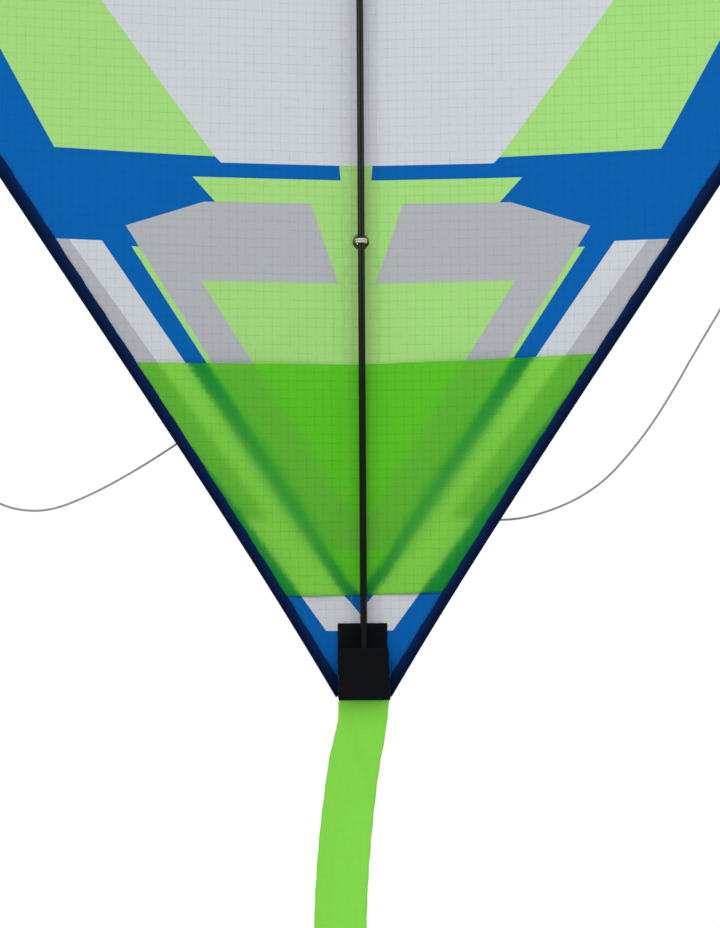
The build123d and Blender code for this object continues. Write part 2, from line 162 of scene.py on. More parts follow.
def add_object(name, points, faces, finishes=(), slots=None, smooth=True):
    """A mesh object at the origin from an array of points and a list of faces."""
    mesh = bpy.data.meshes.new(name)
    mesh.from_pydata(points.tolist(), [], [list(map(int, face)) for face in faces])
    for finish in finishes:
        mesh.materials.append(finish)
    if slots is not None:
        mesh.polygons.foreach_set("material_index", np.asarray(slots, np.int32))
    mesh.polygons.foreach_set("use_smooth", np.full(len(mesh.polygons), smooth))
    mesh.update()
    piece = bpy.data.objects.new(name, mesh)
    bpy.context.collection.objects.link(piece)
    return piece


def store_cloth_place(piece, flat):
    """Keeps each point's place on the flat cloth (across, up) for the weave, as the attribute 'cloth'."""
    attribute = piece.data.attributes.new("cloth", "FLOAT_VECTOR", "POINT")
    place = np.zeros((len(flat), 3), np.float32)
    place[:, :2] = flat[:, :2]
    attribute.data.foreach_set("vector", place.ravel())


def face_outwards(piece):
    """Turns the faces of a closed piece so that they point out of it."""
    work = bmesh.new()
    work.from_mesh(piece.data)
    bmesh.ops.recalc_face_normals(work, faces=work.faces)
    work.to_mesh(piece.data)
    work.free()
    return piece


def skin(name, rings, finish, ends=(True, True), flat=None, wrap_rows=False):
    """A skin through rings of points (ring, point on ring, xyz). Each end may be closed by one face, or
    wrap_rows joins the last ring to the first."""
    rows, columns = rings.shape[:2]
    points = rings.reshape(-1, 3)
    faces = list(grid_quads(rows + 1 if wrap_rows else rows, columns, wrap=True) % (rows * columns))
    if ends[0] and not wrap_rows:
        faces.append(np.arange(columns)[::-1])
    if ends[1] and not wrap_rows:
        faces.append(np.arange(columns) + (rows - 1) * columns)
    piece = add_object(name, points, faces, [finish])
    if flat is not None:
        store_cloth_place(piece, flat.reshape(-1, flat.shape[-1]))
    return face_outwards(piece)


# %% [markdown]
# ## Finishes
#
# A finish is a node tree. To keep shader maths readable, a Signal wraps an output socket and lets
# ordinary + - * / add the Math nodes, and every other node comes from Finish.add, which sets the node's
# options first and then its sockets.


# %% Shader maths
class Signal:
    """A value that changes over a surface: one output socket with arithmetic."""

    def __init__(self, finish, socket):
        self.finish, self.socket = finish, socket

    def math(self, operation, *others):
        return self.finish.add("ShaderNodeMath", {"operation": operation}, dict(enumerate((self, *others))))

    def __add__(self, other):
        return self.math("ADD", other)

    def __sub__(self, other):
        return self.math("SUBTRACT", other)

    def __rsub__(self, other):
        return (self * -1.0).math("ADD", other)

    def __mul__(self, other):
        return self.math("MULTIPLY", other)

    def __truediv__(self, other):
        return self.math("DIVIDE", other)

    __radd__, __rmul__ = __add__, __mul__

    def clipped(self):
        return self.math("MAXIMUM", 0.0).math("MINIMUM", 1.0)

    def line(self, pitch, half_width):
        """1 on evenly spaced lines, falling to 0 at half_width on each side: 1 - distance / half_width."""
        nearest = self.math("PINGPONG", pitch / 2)
        return (1 - nearest / half_width).math("MAXIMUM", 0.0)


class Finish:
    """A material with one Principled shader, whose sockets are set or fed by name."""

    def __init__(self, name, colour, roughness, **constants):
        self.material = bpy.data.materials.new(name)
        self.material.use_nodes = True
        self.material.diffuse_color = (*colour, 1.0)
        self.tree = self.material.node_tree
        self.shader = self.tree.nodes["Principled BSDF"]
        self.output = self.tree.nodes["Material Output"]
        self.feed(**{"Base Color": (*colour, 1.0), "Roughness": roughness, **constants})

    def add(self, kind, options, sockets, output=0):
        node = self.tree.nodes.new(kind)
        for option, value in options.items():
            setattr(node, option, value)
        for socket, value in sockets.items():
            self.join(node.inputs[socket], value)
        return Signal(self, node.outputs[output])

    def join(self, socket, value):
        if isinstance(value, Signal):
            self.tree.links.new(value.socket, socket)
        else:
            socket.default_value = value

    def feed(self, **values):
        for socket, value in values.items():
            self.join(self.shader.inputs[socket.replace("_", " ")], value)
        return self

    def mix(self, amount, first, second, blend="MIX"):
        """A colour between first and second."""
        options = {"data_type": "RGBA", "blend_type": blend}
        return self.add("ShaderNodeMix", options, {0: amount, 6: first, 7: second}, output=2)

    def coordinates(self, place, *axes):
        """The named coordinates of a place, one Signal each."""
        parts = self.add("ShaderNodeSeparateXYZ", {}, {"Vector": place}).socket.node
        return [Signal(self, parts.outputs[axis]) for axis in axes]

    def noise(self, place, scale, detail=2.0):
        return self.add("ShaderNodeTexNoise", {}, {"Vector": place, "Scale": scale, "Detail": detail})

    def bump(self, height, distance, strength=1.0):
        bumped = self.add("ShaderNodeBump", {}, {"Strength": strength, "Distance": distance, "Height": height})
        return self.feed(Normal=bumped)

    def glow(self, colour, share):
        """Lets light from the far side through: a Translucent shader mixed in by a fixed share."""
        through = self.add("ShaderNodeBsdfTranslucent", {}, {"Color": (*colour, 1.0)})
        mixed = self.add("ShaderNodeMixShader", {}, {0: share, 1: Signal(self, self.shader.outputs[0]), 2: through})
        self.tree.links.new(mixed.socket, self.output.inputs["Surface"])
        return self


def paint(red, green, blue):
    """A colour as seen on a screen (0 to 255) as the linear values that shaders use."""
    seen = np.array([red, green, blue]) / 255.0
    return tuple(float(v) for v in np.where(seen <= 0.04045, seen / 12.92, ((seen + 0.055) / 1.055) ** 2.4))


def shade(colour, amount):
    return tuple(c * amount for c in colour)


# %% [markdown]
# Ripstop is a light plain weave with a thicker thread every 5 mm both ways. The thick threads show as
# a faint, slightly broken grid, a touch darker than the cloth and standing a little proud of it. Lower
# than 0.45 m under the spars the cloth is painted darker toward the tail end: painted shade.

# %% Ripstop cloth
RIPSTOP_PITCH = 5.0 * MM
LIME, WHITE, GREY, BLUE = paint(175, 225, 136), paint(214, 218, 223), paint(187, 190, 195), paint(0, 105, 186)
BAND_GREEN, TAIL_GREEN = paint(100, 200, 50), paint(151, 233, 88)


def ripstop(name, colour, glow=0.28, tint=None, squares=0.62):
    """Cloth of one colour, or of the colours in the attribute tint, with its grid of thick threads, which
    darken it by the share squares."""
    finish = Finish(name, colour, 0.62, **{"Specular IOR Level": 0.08})
    place = finish.add("ShaderNodeAttribute", {"attribute_name": "cloth"}, {}, "Vector")
    across, up = finish.coordinates(place, "X", "Y")
    wander, stray = ((finish.noise(place, scale) - 0.5) * (1.5 * MM) for scale in (38.0, 52.0))
    thread = 0.24 * MM
    grid = (across + wander).line(RIPSTOP_PITCH, thread).math("MAXIMUM", (up + stray).line(RIPSTOP_PITCH, thread))
    faint = (across + stray).line(RIPSTOP_PITCH / 4, thread) + (up + wander).line(RIPSTOP_PITCH / 4, thread)
    broken = grid * (finish.noise(place, 170.0, 3.0) * 3.0 - 0.85).math("MAXIMUM", 0.1) + faint * 0.09
    weave = finish.noise(place, 2600.0, 1.0)
    cloud = finish.noise(place, 9.0, 3.0)
    base = (*colour, 1.0)
    if tint is not None:
        base = finish.add("ShaderNodeAttribute", {"attribute_name": tint}, {}, "Color")
    dark = finish.mix(1.0, base, (0.5, 0.5, 0.5, 1.0), "MULTIPLY")
    # Painted shade: from 0.45 m below the spars' crossing down to the tail end the cloth is painted darker.
    painted_low_shade = ((up * -1.0 - 0.45) * 3.2).clipped() * 0.2
    # The grid, weave and cloud are the cloth's own texture; the darkening toward the tail mixed in here is painted
    # shade.
    weave_and_painted_shade = finish.mix(broken * squares + (weave - 0.5) * 0.10 + (cloud - 0.5) * 0.16 + painted_low_shade, base, dark)
    finish.feed(**{"Base Color": weave_and_painted_shade, "Roughness": 0.55 + cloud * 0.14})
    finish.bump(broken + weave * 0.5, 0.06 * MM, 0.5)
    return finish.glow(shade(colour, 0.9), glow).material


CLOTH = {
    "blue": ripstop("blue print", BLUE),
    "lime": ripstop("light green print", LIME),
    "white": ripstop("white print", WHITE),
    "grey": ripstop("grey print", GREY),
}

# %% [markdown]
# Webbing and tape are heavier weaves: black webbing has fine ribs across it, and the navy binding is a
# smoother tape. Thread, cord and brass follow, then the moulded and rod finishes.


# %% Webbing, tape, thread, cord, brass
def ribbed(name, colour, pitch, depth, roughness):
    """A woven band: ribs across it at the given pitch, crossed by finer ones, read on Object coordinates."""
    dull = {"Specular IOR Level": 0.06, "Sheen Weight": 0.01, "Sheen Roughness": 0.5}
    finish = Finish(name, colour, roughness, **dull)
    place = finish.add("ShaderNodeTexCoord", {}, {}, "Object")
    first, second = finish.coordinates(place, "X", "Z")
    ribs = first.line(pitch, pitch * 0.5) * 0.5 + second.line(pitch * 0.8, pitch * 0.4) * 0.5
    fuzz = finish.noise(place, 1400.0, 3.0)
    cloud = finish.noise(place, 45.0, 2.0)
    lighter = tuple(min(1.0, c * 1.7 + 0.0016) for c in colour)
    finish.feed(**{"Base Color": finish.mix(ribs * 0.35 + fuzz * 0.35 * cloud, (*colour, 1.0), (*lighter, 1.0))})
    finish.feed(Roughness=roughness + (fuzz - 0.5) * 0.2)
    finish.bump(ribs + fuzz * 0.4, depth, 0.8)
    return finish.material


WEBBING = ribbed("black webbing", (0.0012, 0.0018, 0.0026), 0.9 * MM, 0.12 * MM, 0.72)
NAVY_THREAD = ribbed("navy thread", paint(6, 20, 58), 0.4 * MM, 0.05 * MM, 0.55)
PALE_THREAD = ribbed("pale thread", paint(186, 206, 180), 0.4 * MM, 0.03 * MM, 0.6)
BLACK_THREAD = ribbed("black thread", (0.004, 0.005, 0.006), 0.4 * MM, 0.05 * MM, 0.5)
GREY_CORD = ribbed("grey cord", paint(134, 130, 128), 0.6 * MM, 0.10 * MM, 0.7)
WHITE_CORD = ribbed("white cord", paint(172, 178, 164), 0.6 * MM, 0.08 * MM, 0.6)
GRIP = ribbed("hook and loop", (0.012, 0.012, 0.014), 0.8 * MM, 0.3 * MM, 0.9)


def grosgrain(name, fold, lip, width):
    """Binding tape: fine ribs across it every 0.7 mm, and painted shade: a colour painted darker at its doubled fold,
    as if turned from the light, and lighter toward its lip.
    It reads (distance in, distance along) from the attribute 'cloth'."""
    finish = Finish(name, lip, 0.6, **{"Specular IOR Level": 0.05})
    place = finish.add("ShaderNodeAttribute", {"attribute_name": "cloth"}, {}, "Vector")
    reach, run = finish.coordinates(place, "X", "Y")
    ribs = run.line(0.7 * MM, 0.35 * MM)
    fuzz = finish.noise(place, 1300.0, 3.0)
    # Painted shade: the share of the lighter lip colour grows inward from the fold, so the fold is painted dark.
    inner = ((reach / width - 0.25) * 1.6).clipped()
    amount = inner * 0.8 + ribs * 0.12 + (fuzz - 0.5) * 0.3
    finish.feed(**{"Base Color": finish.mix(amount, (*fold, 1.0), (*lip, 1.0))})
    finish.feed(Roughness=0.6 + (fuzz - 0.5) * 0.2)
    finish.bump(ribs + fuzz * 0.4, 0.05 * MM, 0.8)
    return finish.material


TAPE_WIDTH = 6.6 * MM
# The darker navy at the fold is painted shade; the lighter navy at the lip is the tape's own colour.
BINDING = grosgrain("navy binding", paint(0, 13, 42), paint(0, 30, 78), TAPE_WIDTH)


def metal(name, colour, roughness, stain):
    """Metal with faint stains and fine scratches: noise in its roughness and colour."""
    finish = Finish(name, colour, roughness, Metallic=1.0)
    place = finish.add("ShaderNodeTexCoord", {}, {}, "Object")
    spots = finish.noise(place, 700.0, 4.0)
    scratches = finish.noise(place, 5200.0, 2.0)
    finish.feed(**{"Base Color": finish.mix(spots * stain, (*colour, 1.0), (*shade(colour, 0.35), 1.0))})
    finish.feed(Roughness=roughness + (spots - 0.5) * 0.22)
    finish.bump(scratches, 0.01 * MM, 0.5)
    return finish.material


# The brass is painted a dark olive all over.
BRASS = metal("old brass", (0.13, 0.105, 0.032), 0.24, 1.3)
STEEL = metal("plain steel", (0.55, 0.55, 0.56), 0.3, 0.3)


def plastic(name, colour, roughness, coat, streaks=0.0):
    """Moulded or drawn plastic: a fine grain, with lengthwise streaks where it was drawn through a die."""
    gloss = {"Coat Weight": coat, "Coat Roughness": 0.12, "Specular IOR Level": 0.2}
    finish = Finish(name, colour, roughness, **gloss)
    place = finish.add("ShaderNodeTexCoord", {}, {}, "Object")
    grain = finish.noise(place, 2200.0, 2.0)
    rubbed = finish.noise(place, 130.0, 3.0)
    if streaks:
        drawn = finish.add("ShaderNodeMapping", {}, {"Vector": place, "Scale": (1.0, 1.0, 0.02)})
        grain = grain * (1 - streaks) + finish.noise(drawn, 2600.0, 3.0) * streaks
    lighter = tuple(c * 1.8 + 0.002 for c in colour)
    finish.feed(**{"Base Color": finish.mix(rubbed * 0.5, (*colour, 1.0), (*lighter, 1.0))})
    finish.feed(Roughness=roughness + (grain - 0.5) * 0.16 + (rubbed - 0.5) * 0.08)
    finish.bump(grain, 0.02 * MM, 0.4)
    return finish.material


ROD = plastic("black glass-fibre rod", (0.0012, 0.0014, 0.0013), 0.16, 0.05, 0.7)
HUB = plastic("black nylon", (0.014, 0.014, 0.016), 0.5, 0.0)
CAP = plastic("soft black cap", (0.012, 0.012, 0.013), 0.62, 0.0)
print("finishes:", len(bpy.data.materials))

# %% [markdown]
# ## Bridle cords
#
# Each bridle is one limp braided cord, 0.92 m of it, tied to a cross spar, hanging slack down behind
# its wing, and tied again to the spine in front. A small knot half way holds the ring for the flying
# line. The cord follows one smooth curve through its chosen points: from the wing, through the knot, to
# the spine. Its surface is a tube round that curve, swollen a little where its three strands turn.

# %% Cord routes, in metres
CORD_ROUTES = {
    "left": [
        (-0.2475, -0.0410, -0.0420), (-0.2492, -0.0386, -0.0840), (-0.2502, -0.0368, -0.1370),
        (-0.2522, -0.0352, -0.1900), (-0.2528, -0.0338, -0.2450), (-0.2546, -0.0326, -0.3000),
        (-0.2548, -0.0316, -0.3550), (-0.2562, -0.0306, -0.4070), (-0.2560, -0.0298, -0.4550),
        (-0.2565, -0.0292, -0.4830),
        (-0.2569, -0.0286, -0.5110), (-0.2535, -0.0272, -0.5520), (-0.2450, -0.0252, -0.5910),
        (-0.2290, -0.0220, -0.6215), (-0.2040, -0.0180, -0.6420), (-0.1780, -0.0120, -0.6455),
        (-0.1515, -0.0060, -0.6345), (-0.1260, 0.0000, -0.6200), (-0.1010, 0.0055, -0.6035),
        (-0.0760, 0.0095, -0.5835), (-0.0510, 0.0120, -0.5600), (-0.0270, 0.0125, -0.5330),
        (-0.0095, 0.0106, -0.5080),
    ],
    "right": [
        (0.2475, -0.0410, -0.0420), (0.2496, -0.0388, -0.0840), (0.2506, -0.0370, -0.1370),
        (0.2524, -0.0354, -0.1900), (0.2522, -0.0340, -0.2450), (0.2524, -0.0326, -0.3000),
        (0.2500, -0.0312, -0.3520), (0.2446, -0.0296, -0.3990), (0.2366, -0.0280, -0.4400),
        (0.2288, -0.0267, -0.4670),
        (0.2210, -0.0255, -0.4940), (0.2060, -0.0227, -0.5250), (0.1875, -0.0195, -0.5555),
        (0.1715, -0.0155, -0.5840), (0.1545, -0.0110, -0.6090), (0.1340, -0.0060, -0.6315),
        (0.1085, -0.0010, -0.6450), (0.0810, 0.0050, -0.6510), (0.0545, 0.0100, -0.6470),
        (0.0340, 0.0130, -0.6295), (0.0205, 0.0145, -0.6040), (0.0125, 0.0145, -0.5750),
        (0.0080, 0.0130, -0.5440), (0.0046, 0.0106, -0.5150),
    ],
}
CORD_R = 0.6 * MM
KNOT_R = 1.8 * MM
KNOT_ROOM = KNOT_R + 0.3 * MM
SIDES = {"left": -1, "right": 1}


def smooth_path(name, points):
    """Points along the second-degree NURBS curve that has the given points as its control points."""
    curve = bpy.data.curves.new(name, "CURVE")
    curve.dimensions = "3D"
    curve.resolution_u = 16
    spline = curve.splines.new("NURBS")
    spline.points.add(len(points) - 1)
    spline.points.foreach_set("co", np.c_[points, np.ones(len(points))].ravel())
    spline.order_u = 3
    spline.use_endpoint_u = True
    holder = bpy.data.objects.new(name, curve)
    line = bpy.data.meshes.new_from_object(holder)
    path = np.empty(3 * len(line.vertices), np.float32)
    line.vertices.foreach_get("co", path)
    bpy.data.objects.remove(holder)
    bpy.data.curves.remove(curve)
    bpy.data.meshes.remove(line)
    return path.reshape(-1, 3).astype(float)


def length_of(path):
    return float(np.linalg.norm(np.diff(path, axis=0), axis=1).sum())


def cord_rings(path, radius, sides, turns_per_m, closed=False):
    """Rings round a path: radius * (1 + 0.07 cos(3 * angle + turn)), where turn grows along the cord.

    Each ring's frame is the path's direction crossed with the front's direction."""
    along = np.roll(path, -1, 0) - np.roll(path, 1, 0) if closed else np.gradient(path, axis=0)
    along /= np.linalg.norm(along, axis=1)[:, None]
    first = np.cross(along, (0.02, 1.0, 0.01))
    first /= np.linalg.norm(first, axis=1)[:, None]
    second = np.cross(first, along)
    angle = np.linspace(0, 2 * np.pi, sides, endpoint=False)[None, :, None]
    run = np.r_[0, np.cumsum(np.linalg.norm(np.diff(path, axis=0), axis=1))][:, None, None]
    size = radius * (1 + 0.07 * np.cos(3 * angle + 2 * np.pi * turns_per_m * run))
    return path[:, None] + size * (np.cos(angle) * first[:, None] + np.sin(angle) * second[:, None])


def box_centre(node):
    return node_box(node).mean(0)


def wing_knot(side):
    """Centre of the knot in front of a wing eyelet: the tie's most forward point, less the knot's radius."""
    sign = SIDES[side]
    forward = np.array([sign * np.sin(LEAN), np.cos(LEAN), 0.0])
    middle = box_centre("wing_eyelet_" + side)
    reach = ((node_points("wing_tie_" + side) - middle) @ forward).max()
    return middle + forward * (reach - KNOT_R)


spine_knot = box_centre("lower_eyelet")
spine_knot[1] = node_box("lower_tie")[1][1] - KNOT_R
cords, cord_paths = {}, {}
for side in SIDES:
    route = np.array(CORD_ROUTES[side])
    toward = (route[-1] - spine_knot) / np.linalg.norm(route[-1] - spine_knot)
    route = np.vstack([wing_knot(side) - (0, 0, KNOT_ROOM), route, spine_knot + toward * KNOT_ROOM])
    cord_paths[side] = smooth_path(f"{side} bridle route", route)
    rings = cord_rings(cord_paths[side], CORD_R, 10, 560)
    cords[side] = skin(f"bridle_{side}", rings, GREY_CORD)
    print(cords[side].name, "is", round(length_of(cord_paths[side]), 4), "m long from", cord_paths[side][0].round(4))

# %% [markdown]
# The knot at the tow point is an overhand knot pulled tight. Its line is the closed curve
# (sin t + 2 sin 2t, cos t - 2 cos 2t, -sin 3t), made small, with the same cord round it. The ring that
# the flying line clips to is a bent wire ring: a circle carried round a larger circle.

# %% Tow knots and rings
ROUND = np.linspace(0, 2 * np.pi, 96, endpoint=False)


def pulled_knot(name, middle, radius):
    """The knot's line, squeezed into a ball of the given radius, with the cord round it."""
    across, up = np.sin(ROUND) + 2 * np.sin(2 * ROUND), np.cos(ROUND) - 2 * np.cos(2 * ROUND)
    knot = np.stack([across, -1.1 * np.sin(3 * ROUND), up], 1)
    path = middle + knot * (radius - CORD_R) / 3
    return skin(name, cord_rings(path, CORD_R, 10, 0, closed=True), GREY_CORD, wrap_rows=True)


def wire_ring(name, middle, box, finish):
    """A ring about an axis along X, as wide and as thick as the box it has to fill."""
    wire = (box[1][0] - box[0][0]) / 2
    big = (box[1][2] - box[0][2]) / 2 - wire
    small = np.linspace(0, 2 * np.pi, 16, endpoint=False)[None, :]
    turn = ROUND[:, None]
    reach = big + wire * np.cos(small)
    rings = np.stack([wire * np.sin(small) + 0 * turn, reach * np.cos(turn), reach * np.sin(turn)], -1)
    return skin(name, middle + rings, finish, wrap_rows=True)


knots, rings = {}, {}
for side in SIDES:
    knots[side] = pulled_knot(f"tow_knot_{side}_tied", box_centre(f"tow_knot_{side}"), KNOT_R + 0.25 * MM)
    ring_node = f"tow_ring_{side}"
    rings[side] = wire_ring(f"{ring_node}_wire", box_centre(ring_node), node_box(ring_node), STEEL)
    print(knots[side].name, rings[side].name)

# %% [markdown]
# ## Where the cloth lies
#
# A wing piece is worked out on the flat cloth first: across, forward of the rods, and up. Placing it
# bends the flat sheet back along the hub pin's line and mirrors it for the left wing. The cloth itself
# also swells a little between the spine and the edges, as cloth on a frame does, and its lower edges
# follow a shallow S.

# %% From flat cloth to space
BEND = 4.0 * MM
SEAM_HALF = node_box("centre_seam_tape")[1][0]
EDGE_PULL, EDGE_CROSSING, EDGE_REACH = 152 * MM, 0.24, 30 * MM


def edge_pull(across, up):
    """How far the sewn cloth moves outward. With h the height over the lower edge, from 0 at the tail to 1 at
    the tip, the edge follows h * (h - 0.24) * (1 - h)^2: drawn in near the tail and a little full above. The
    pull fades inward from the edge exponentially."""
    h = np.clip(1 - up / TAIL_EDGE, 0, 1)
    line = EDGE_PULL * h * (h - EDGE_CROSSING) * (1 - h) ** 2
    edge = edge_at(up)
    return line * np.exp(np.minimum(0, across - edge) / EDGE_REACH) * np.clip(across / edge, 0, 1) ** 2


def place(side, flat):
    """Flat (across, forward, up) to space. The turn eases in over the hub pin's line by a smooth step:
    its angle is LEAN * (3t^2 - 2t^3), and the drop behind is the integral of that step."""
    across, forward, up = flat[..., 0], flat[..., 1], flat[..., 2]
    across = across + edge_pull(across, up)
    t = np.clip((across - HINGE + BEND) / (2 * BEND), 0, 1)
    turned = LEAN * t * t * (3 - 2 * t)
    past = np.where(t < 1, 2 * BEND * (t**3 - t**4 / 2), across - HINGE)
    x = across - (1 - np.cos(LEAN)) * past + forward * np.sin(turned)
    y = forward * np.cos(turned) - np.sin(LEAN) * past
    return np.stack([side * x, y, up], -1)


def swell(side, across, up):
    """How far the cloth stands forward of its flat plane: one soft bulge per wing below the cross spar and
    one above it, nothing under the centre seam, the spar and the edge binding, with a few slow ripples."""
    share = np.clip((across - SEAM_HALF) / (edge_at(up) - TAPE_WIDTH - SEAM_HALF), 0, 1)
    below = np.clip(up / TAIL_EDGE, 0, 1)
    above = np.clip(up / NOSE_EDGE, 0, 1)
    middle = np.sin(np.pi * share) ** 1.2
    bulge = 3.4 * MM * middle * np.sin(np.pi * below) + 1.6 * MM * middle * np.sin(np.pi * above)
    ripple = np.sin(46 * across + 17 * up + side) * np.sin(23 * up - 31 * across + 2 * side)
    return bulge + 0.35 * MM * (1 + ripple) * middle * np.minimum(1, 8 * (below + above))


# %% [markdown]
# ## The printed sail
#
# The print is flat areas of blue, light green, white and grey. Each colour is its own finish, and the
# sheet is cut along the print's outlines, so that every border is a crisp line of the mesh. A Delaunay
# triangulation takes the outlines and a lattice of inner points, and gives the triangles to bend.

# %% The print, half of it, in millimetres from the crossing of the rods
PRINT = [
    ("lime", [(0, -447.4), (9, -447.4), (8.3, -455.8), (93.5, -455.8), (80.5, -469.8), (84, -480), (123.9, -496.4),
              (128.5, -496.4), (4.2, -686), (2.2, -688.3), (0.1, -690.6), (0, -692)]),
    ("grey", [(86.7, -469.8), (25.4, -469.5), (9.9, -514.8), (89, -514.5), (59.3, -561), (0, -654.5), (0, -665.3),
              (15.6, -665.3), (82.3, -561.5), (131.8, -484.7)]),
    ("white", [(145.2, -493.7), (163.3, -493.5), (51.4, -649.3), (65.5, -649.3), (33.5, -691.5), (18, -712.2),
               (0, -712.4), (0, -705.1), (0.1, -702.2), (2.2, -699.5), (7.8, -692.3), (98.9, -560.5)]),
    ("grey", [(163.3, -493.5), (192, -493.5), (136, -557), (65.5, -649.3), (51.4, -649.3)]),
    ("white", [(0, -447.4), (77.2, -447.4), (80.6, -444), (89.4, -432.5), (151, -350), (0, -350)]),
    ("lime", [(80.6, -444), (171.8, -442.1), (175.6, -435.3), (223, -350), (151, -350), (89.4, -432.5)]),
    ("lime", [(0, -336), (231, -336), (262, -280), (0, -280)]),
    ("grey", [(0, -280), (262, -280), (300, -212), (120, -212), (0, -262)]),
    ("white", [(0, -238), (96, -198), (308, -198), (330, -158), (120, -158), (0, -208)]),
    ("lime", [(0, -180), (150, -118), (352, -118), (392, -46), (190, -46), (0, -130)]),
    ("white", [(0, -96), (226, -2), (436, -2), (424, 16), (180, 16), (0, -60)]),
    ("grey", [(0, -40), (128, 16), (424, 16), (384, 34), (112, 34), (0, -12)]),
    ("lime", [(0, 40), (96, 84), (262, 84), (150, 140), (70, 140), (0, 108)]),
    ("white", [(0, 128), (60, 154), (118, 154), (40, 192), (0, 192)]),
]
PRINT_SHIFT = -2.2  # the whole print lies this far to the left of the cloth's middle
COLOURS = list(CLOTH)
print("print areas:", len(PRINT), "a side")


def inside(points, outline):
    """Which points lie in an outline: a ray from each crosses its sides an odd number of times."""
    x, y = points[..., 0], points[..., 1]
    crossed = np.zeros(x.shape, bool)
    for (x0, y0), (x1, y1) in zip(outline, outline[1:] + outline[:1]):
        if y0 != y1:
            crossed ^= ((y0 > y) != (y1 > y)) & (x < x0 + (y - y0) * (x1 - x0) / (y1 - y0))
    return crossed


def printed_areas(side):
    """The print on one wing, as an index in COLOURS and an outline for each area. Points on the middle line
    stay there, and the others move by the print's shift, as far as that line."""
    moved = [[(max(a + side * PRINT_SHIFT, 0.0) if a > 0 else 0.0, b) for a, b in area] for _, area in PRINT]
    return [(COLOURS.index(colour), area) for (colour, _), area in zip(PRINT, moved)]


def colour_at(side, points):
    """The index in COLOURS of the print at flat points in millimetres: the last area that holds each."""
    found = np.zeros(points.shape[:-1], int)
    for colour, outline in printed_areas(side):
        found[inside(points, outline)] = colour
    return found


# %% [markdown]
# A wing's sheet stops 0.6 mm inside its folded binding, and leaves a notch for the hub's plates, which a
# patch covers on the front.

# %% Cut and place the sail
HUB_BOX = node_box("hub_body")
NOTCH_UP = HUB_BOX[1][2] + 0.6 * MM
NOTCH_OUT = HINGE + 20.6 * MM
POCKET_TOP, NOSE_LOW = node_box("tail_patch")[1][2], node_box("nose_pocket")[0][2]
EYELET_UP = box_centre("lower_eyelet")[2]
eyelet_out = box_centre("wing_eyelet_right")
WING_EYELET = HINGE + (eyelet_out[0] - HINGE) * np.cos(LEAN) - eyelet_out[1] * np.sin(LEAN)


def wing_outline():
    """Corners (across, up) in millimetres of a wing's sheet, from the tail along the edge to the nose."""
    low, high, tip_up = TAIL_EDGE + 1 * MM, NOSE_EDGE - 2 * MM, 1.0 * MM
    inset = 0.6 * MM
    lower = [(0, low), (edge_at(low) - inset, low), (HALF_SPAN - 3 * MM, -tip_up)]
    upper = [(HALF_SPAN - 3 * MM, tip_up), (edge_at(high) - inset, high), (0, high)]
    notch = [(0, NOTCH_UP), (NOTCH_OUT, NOTCH_UP), (NOTCH_OUT, -NOTCH_UP), (0, -NOTCH_UP)]
    return [(float(a) / MM, float(b) / MM) for a, b in lower + upper + notch]


EYELET_HOLE = 3.05
HOLE_RING = np.linspace(0, 2 * np.pi, 32, endpoint=False)
BEND_COLUMNS = np.arange(5.2, 14.0, 1.6)
HOLES = [[(a + EYELET_HOLE * np.cos(w), b + EYELET_HOLE * np.sin(w)) for w in HOLE_RING]
         for a, b in ((0.0, EYELET_UP / MM), (WING_EYELET / MM, 0.0))]


def finely(ring, longest=4.0):
    """A closed outline with extra points along each side, so that no side bends as one long chord."""
    ring = np.array(ring)
    sides = [np.linspace(a, b, max(1, int(np.ceil(np.linalg.norm(b - a) / longest))), endpoint=False)
             for a, b in zip(ring, np.roll(ring, -1, 0))]
    return [tuple(p) for p in np.concatenate(sides).tolist()]


def cut_sheet(side, outline, step):
    """Triangles of an outline, cut along the print, as flat points in millimetres and a colour each."""
    places, edges = [], []
    for ring in map(finely, [outline] + HOLES + [area for _, area in printed_areas(side)]):
        first = len(places)
        places += ring
        edges += [(first + k, first + (k + 1) % len(ring)) for k in range(len(ring))]
    reach = max(a for a, _ in outline)
    ups = np.arange(min(b for _, b in outline) + 2.6, max(b for _, b in outline), step)
    columns = np.r_[3.0, BEND_COLUMNS, np.arange(BEND_COLUMNS[-1] + step / 2, reach, step)]
    lattice = np.stack(np.meshgrid(columns[columns < reach], ups), -1).reshape(-1, 2)
    places += lattice[inside(lattice, outline)].tolist()
    result = delaunay_2d_cdt([Vector(p) for p in places], edges, [], 0, 1e-4)
    points = np.array([tuple(v) for v in result[0]])
    triangles = np.array(result[2])
    triangles = triangles[inside(points[triangles].mean(1), outline)]
    for hole in HOLES:
        triangles = triangles[~inside(points[triangles].mean(1), hole)]
    first, second = (points[triangles[:, k]] - points[triangles[:, 0]] for k in (1, 2))
    triangles = triangles[np.abs(first[:, 0] * second[:, 1] - first[:, 1] * second[:, 0]) > 1e-6]
    used, triangles = np.unique(triangles, return_inverse=True)
    triangles = triangles.reshape(-1, 3)
    points = points[used]
    return points, triangles, colour_at(side, points[triangles].mean(1))


def area_of(outline):
    """Area of a closed outline, by the shoelace sum."""
    x, y = np.array(outline).T
    return abs(float(x @ np.roll(y, -1) - y @ np.roll(x, -1))) / 2


def thicken(piece, thickness, offset=0.0):
    solid = piece.modifiers.new("thickness", "SOLIDIFY")
    solid.thickness, solid.offset = thickness, offset
    return piece


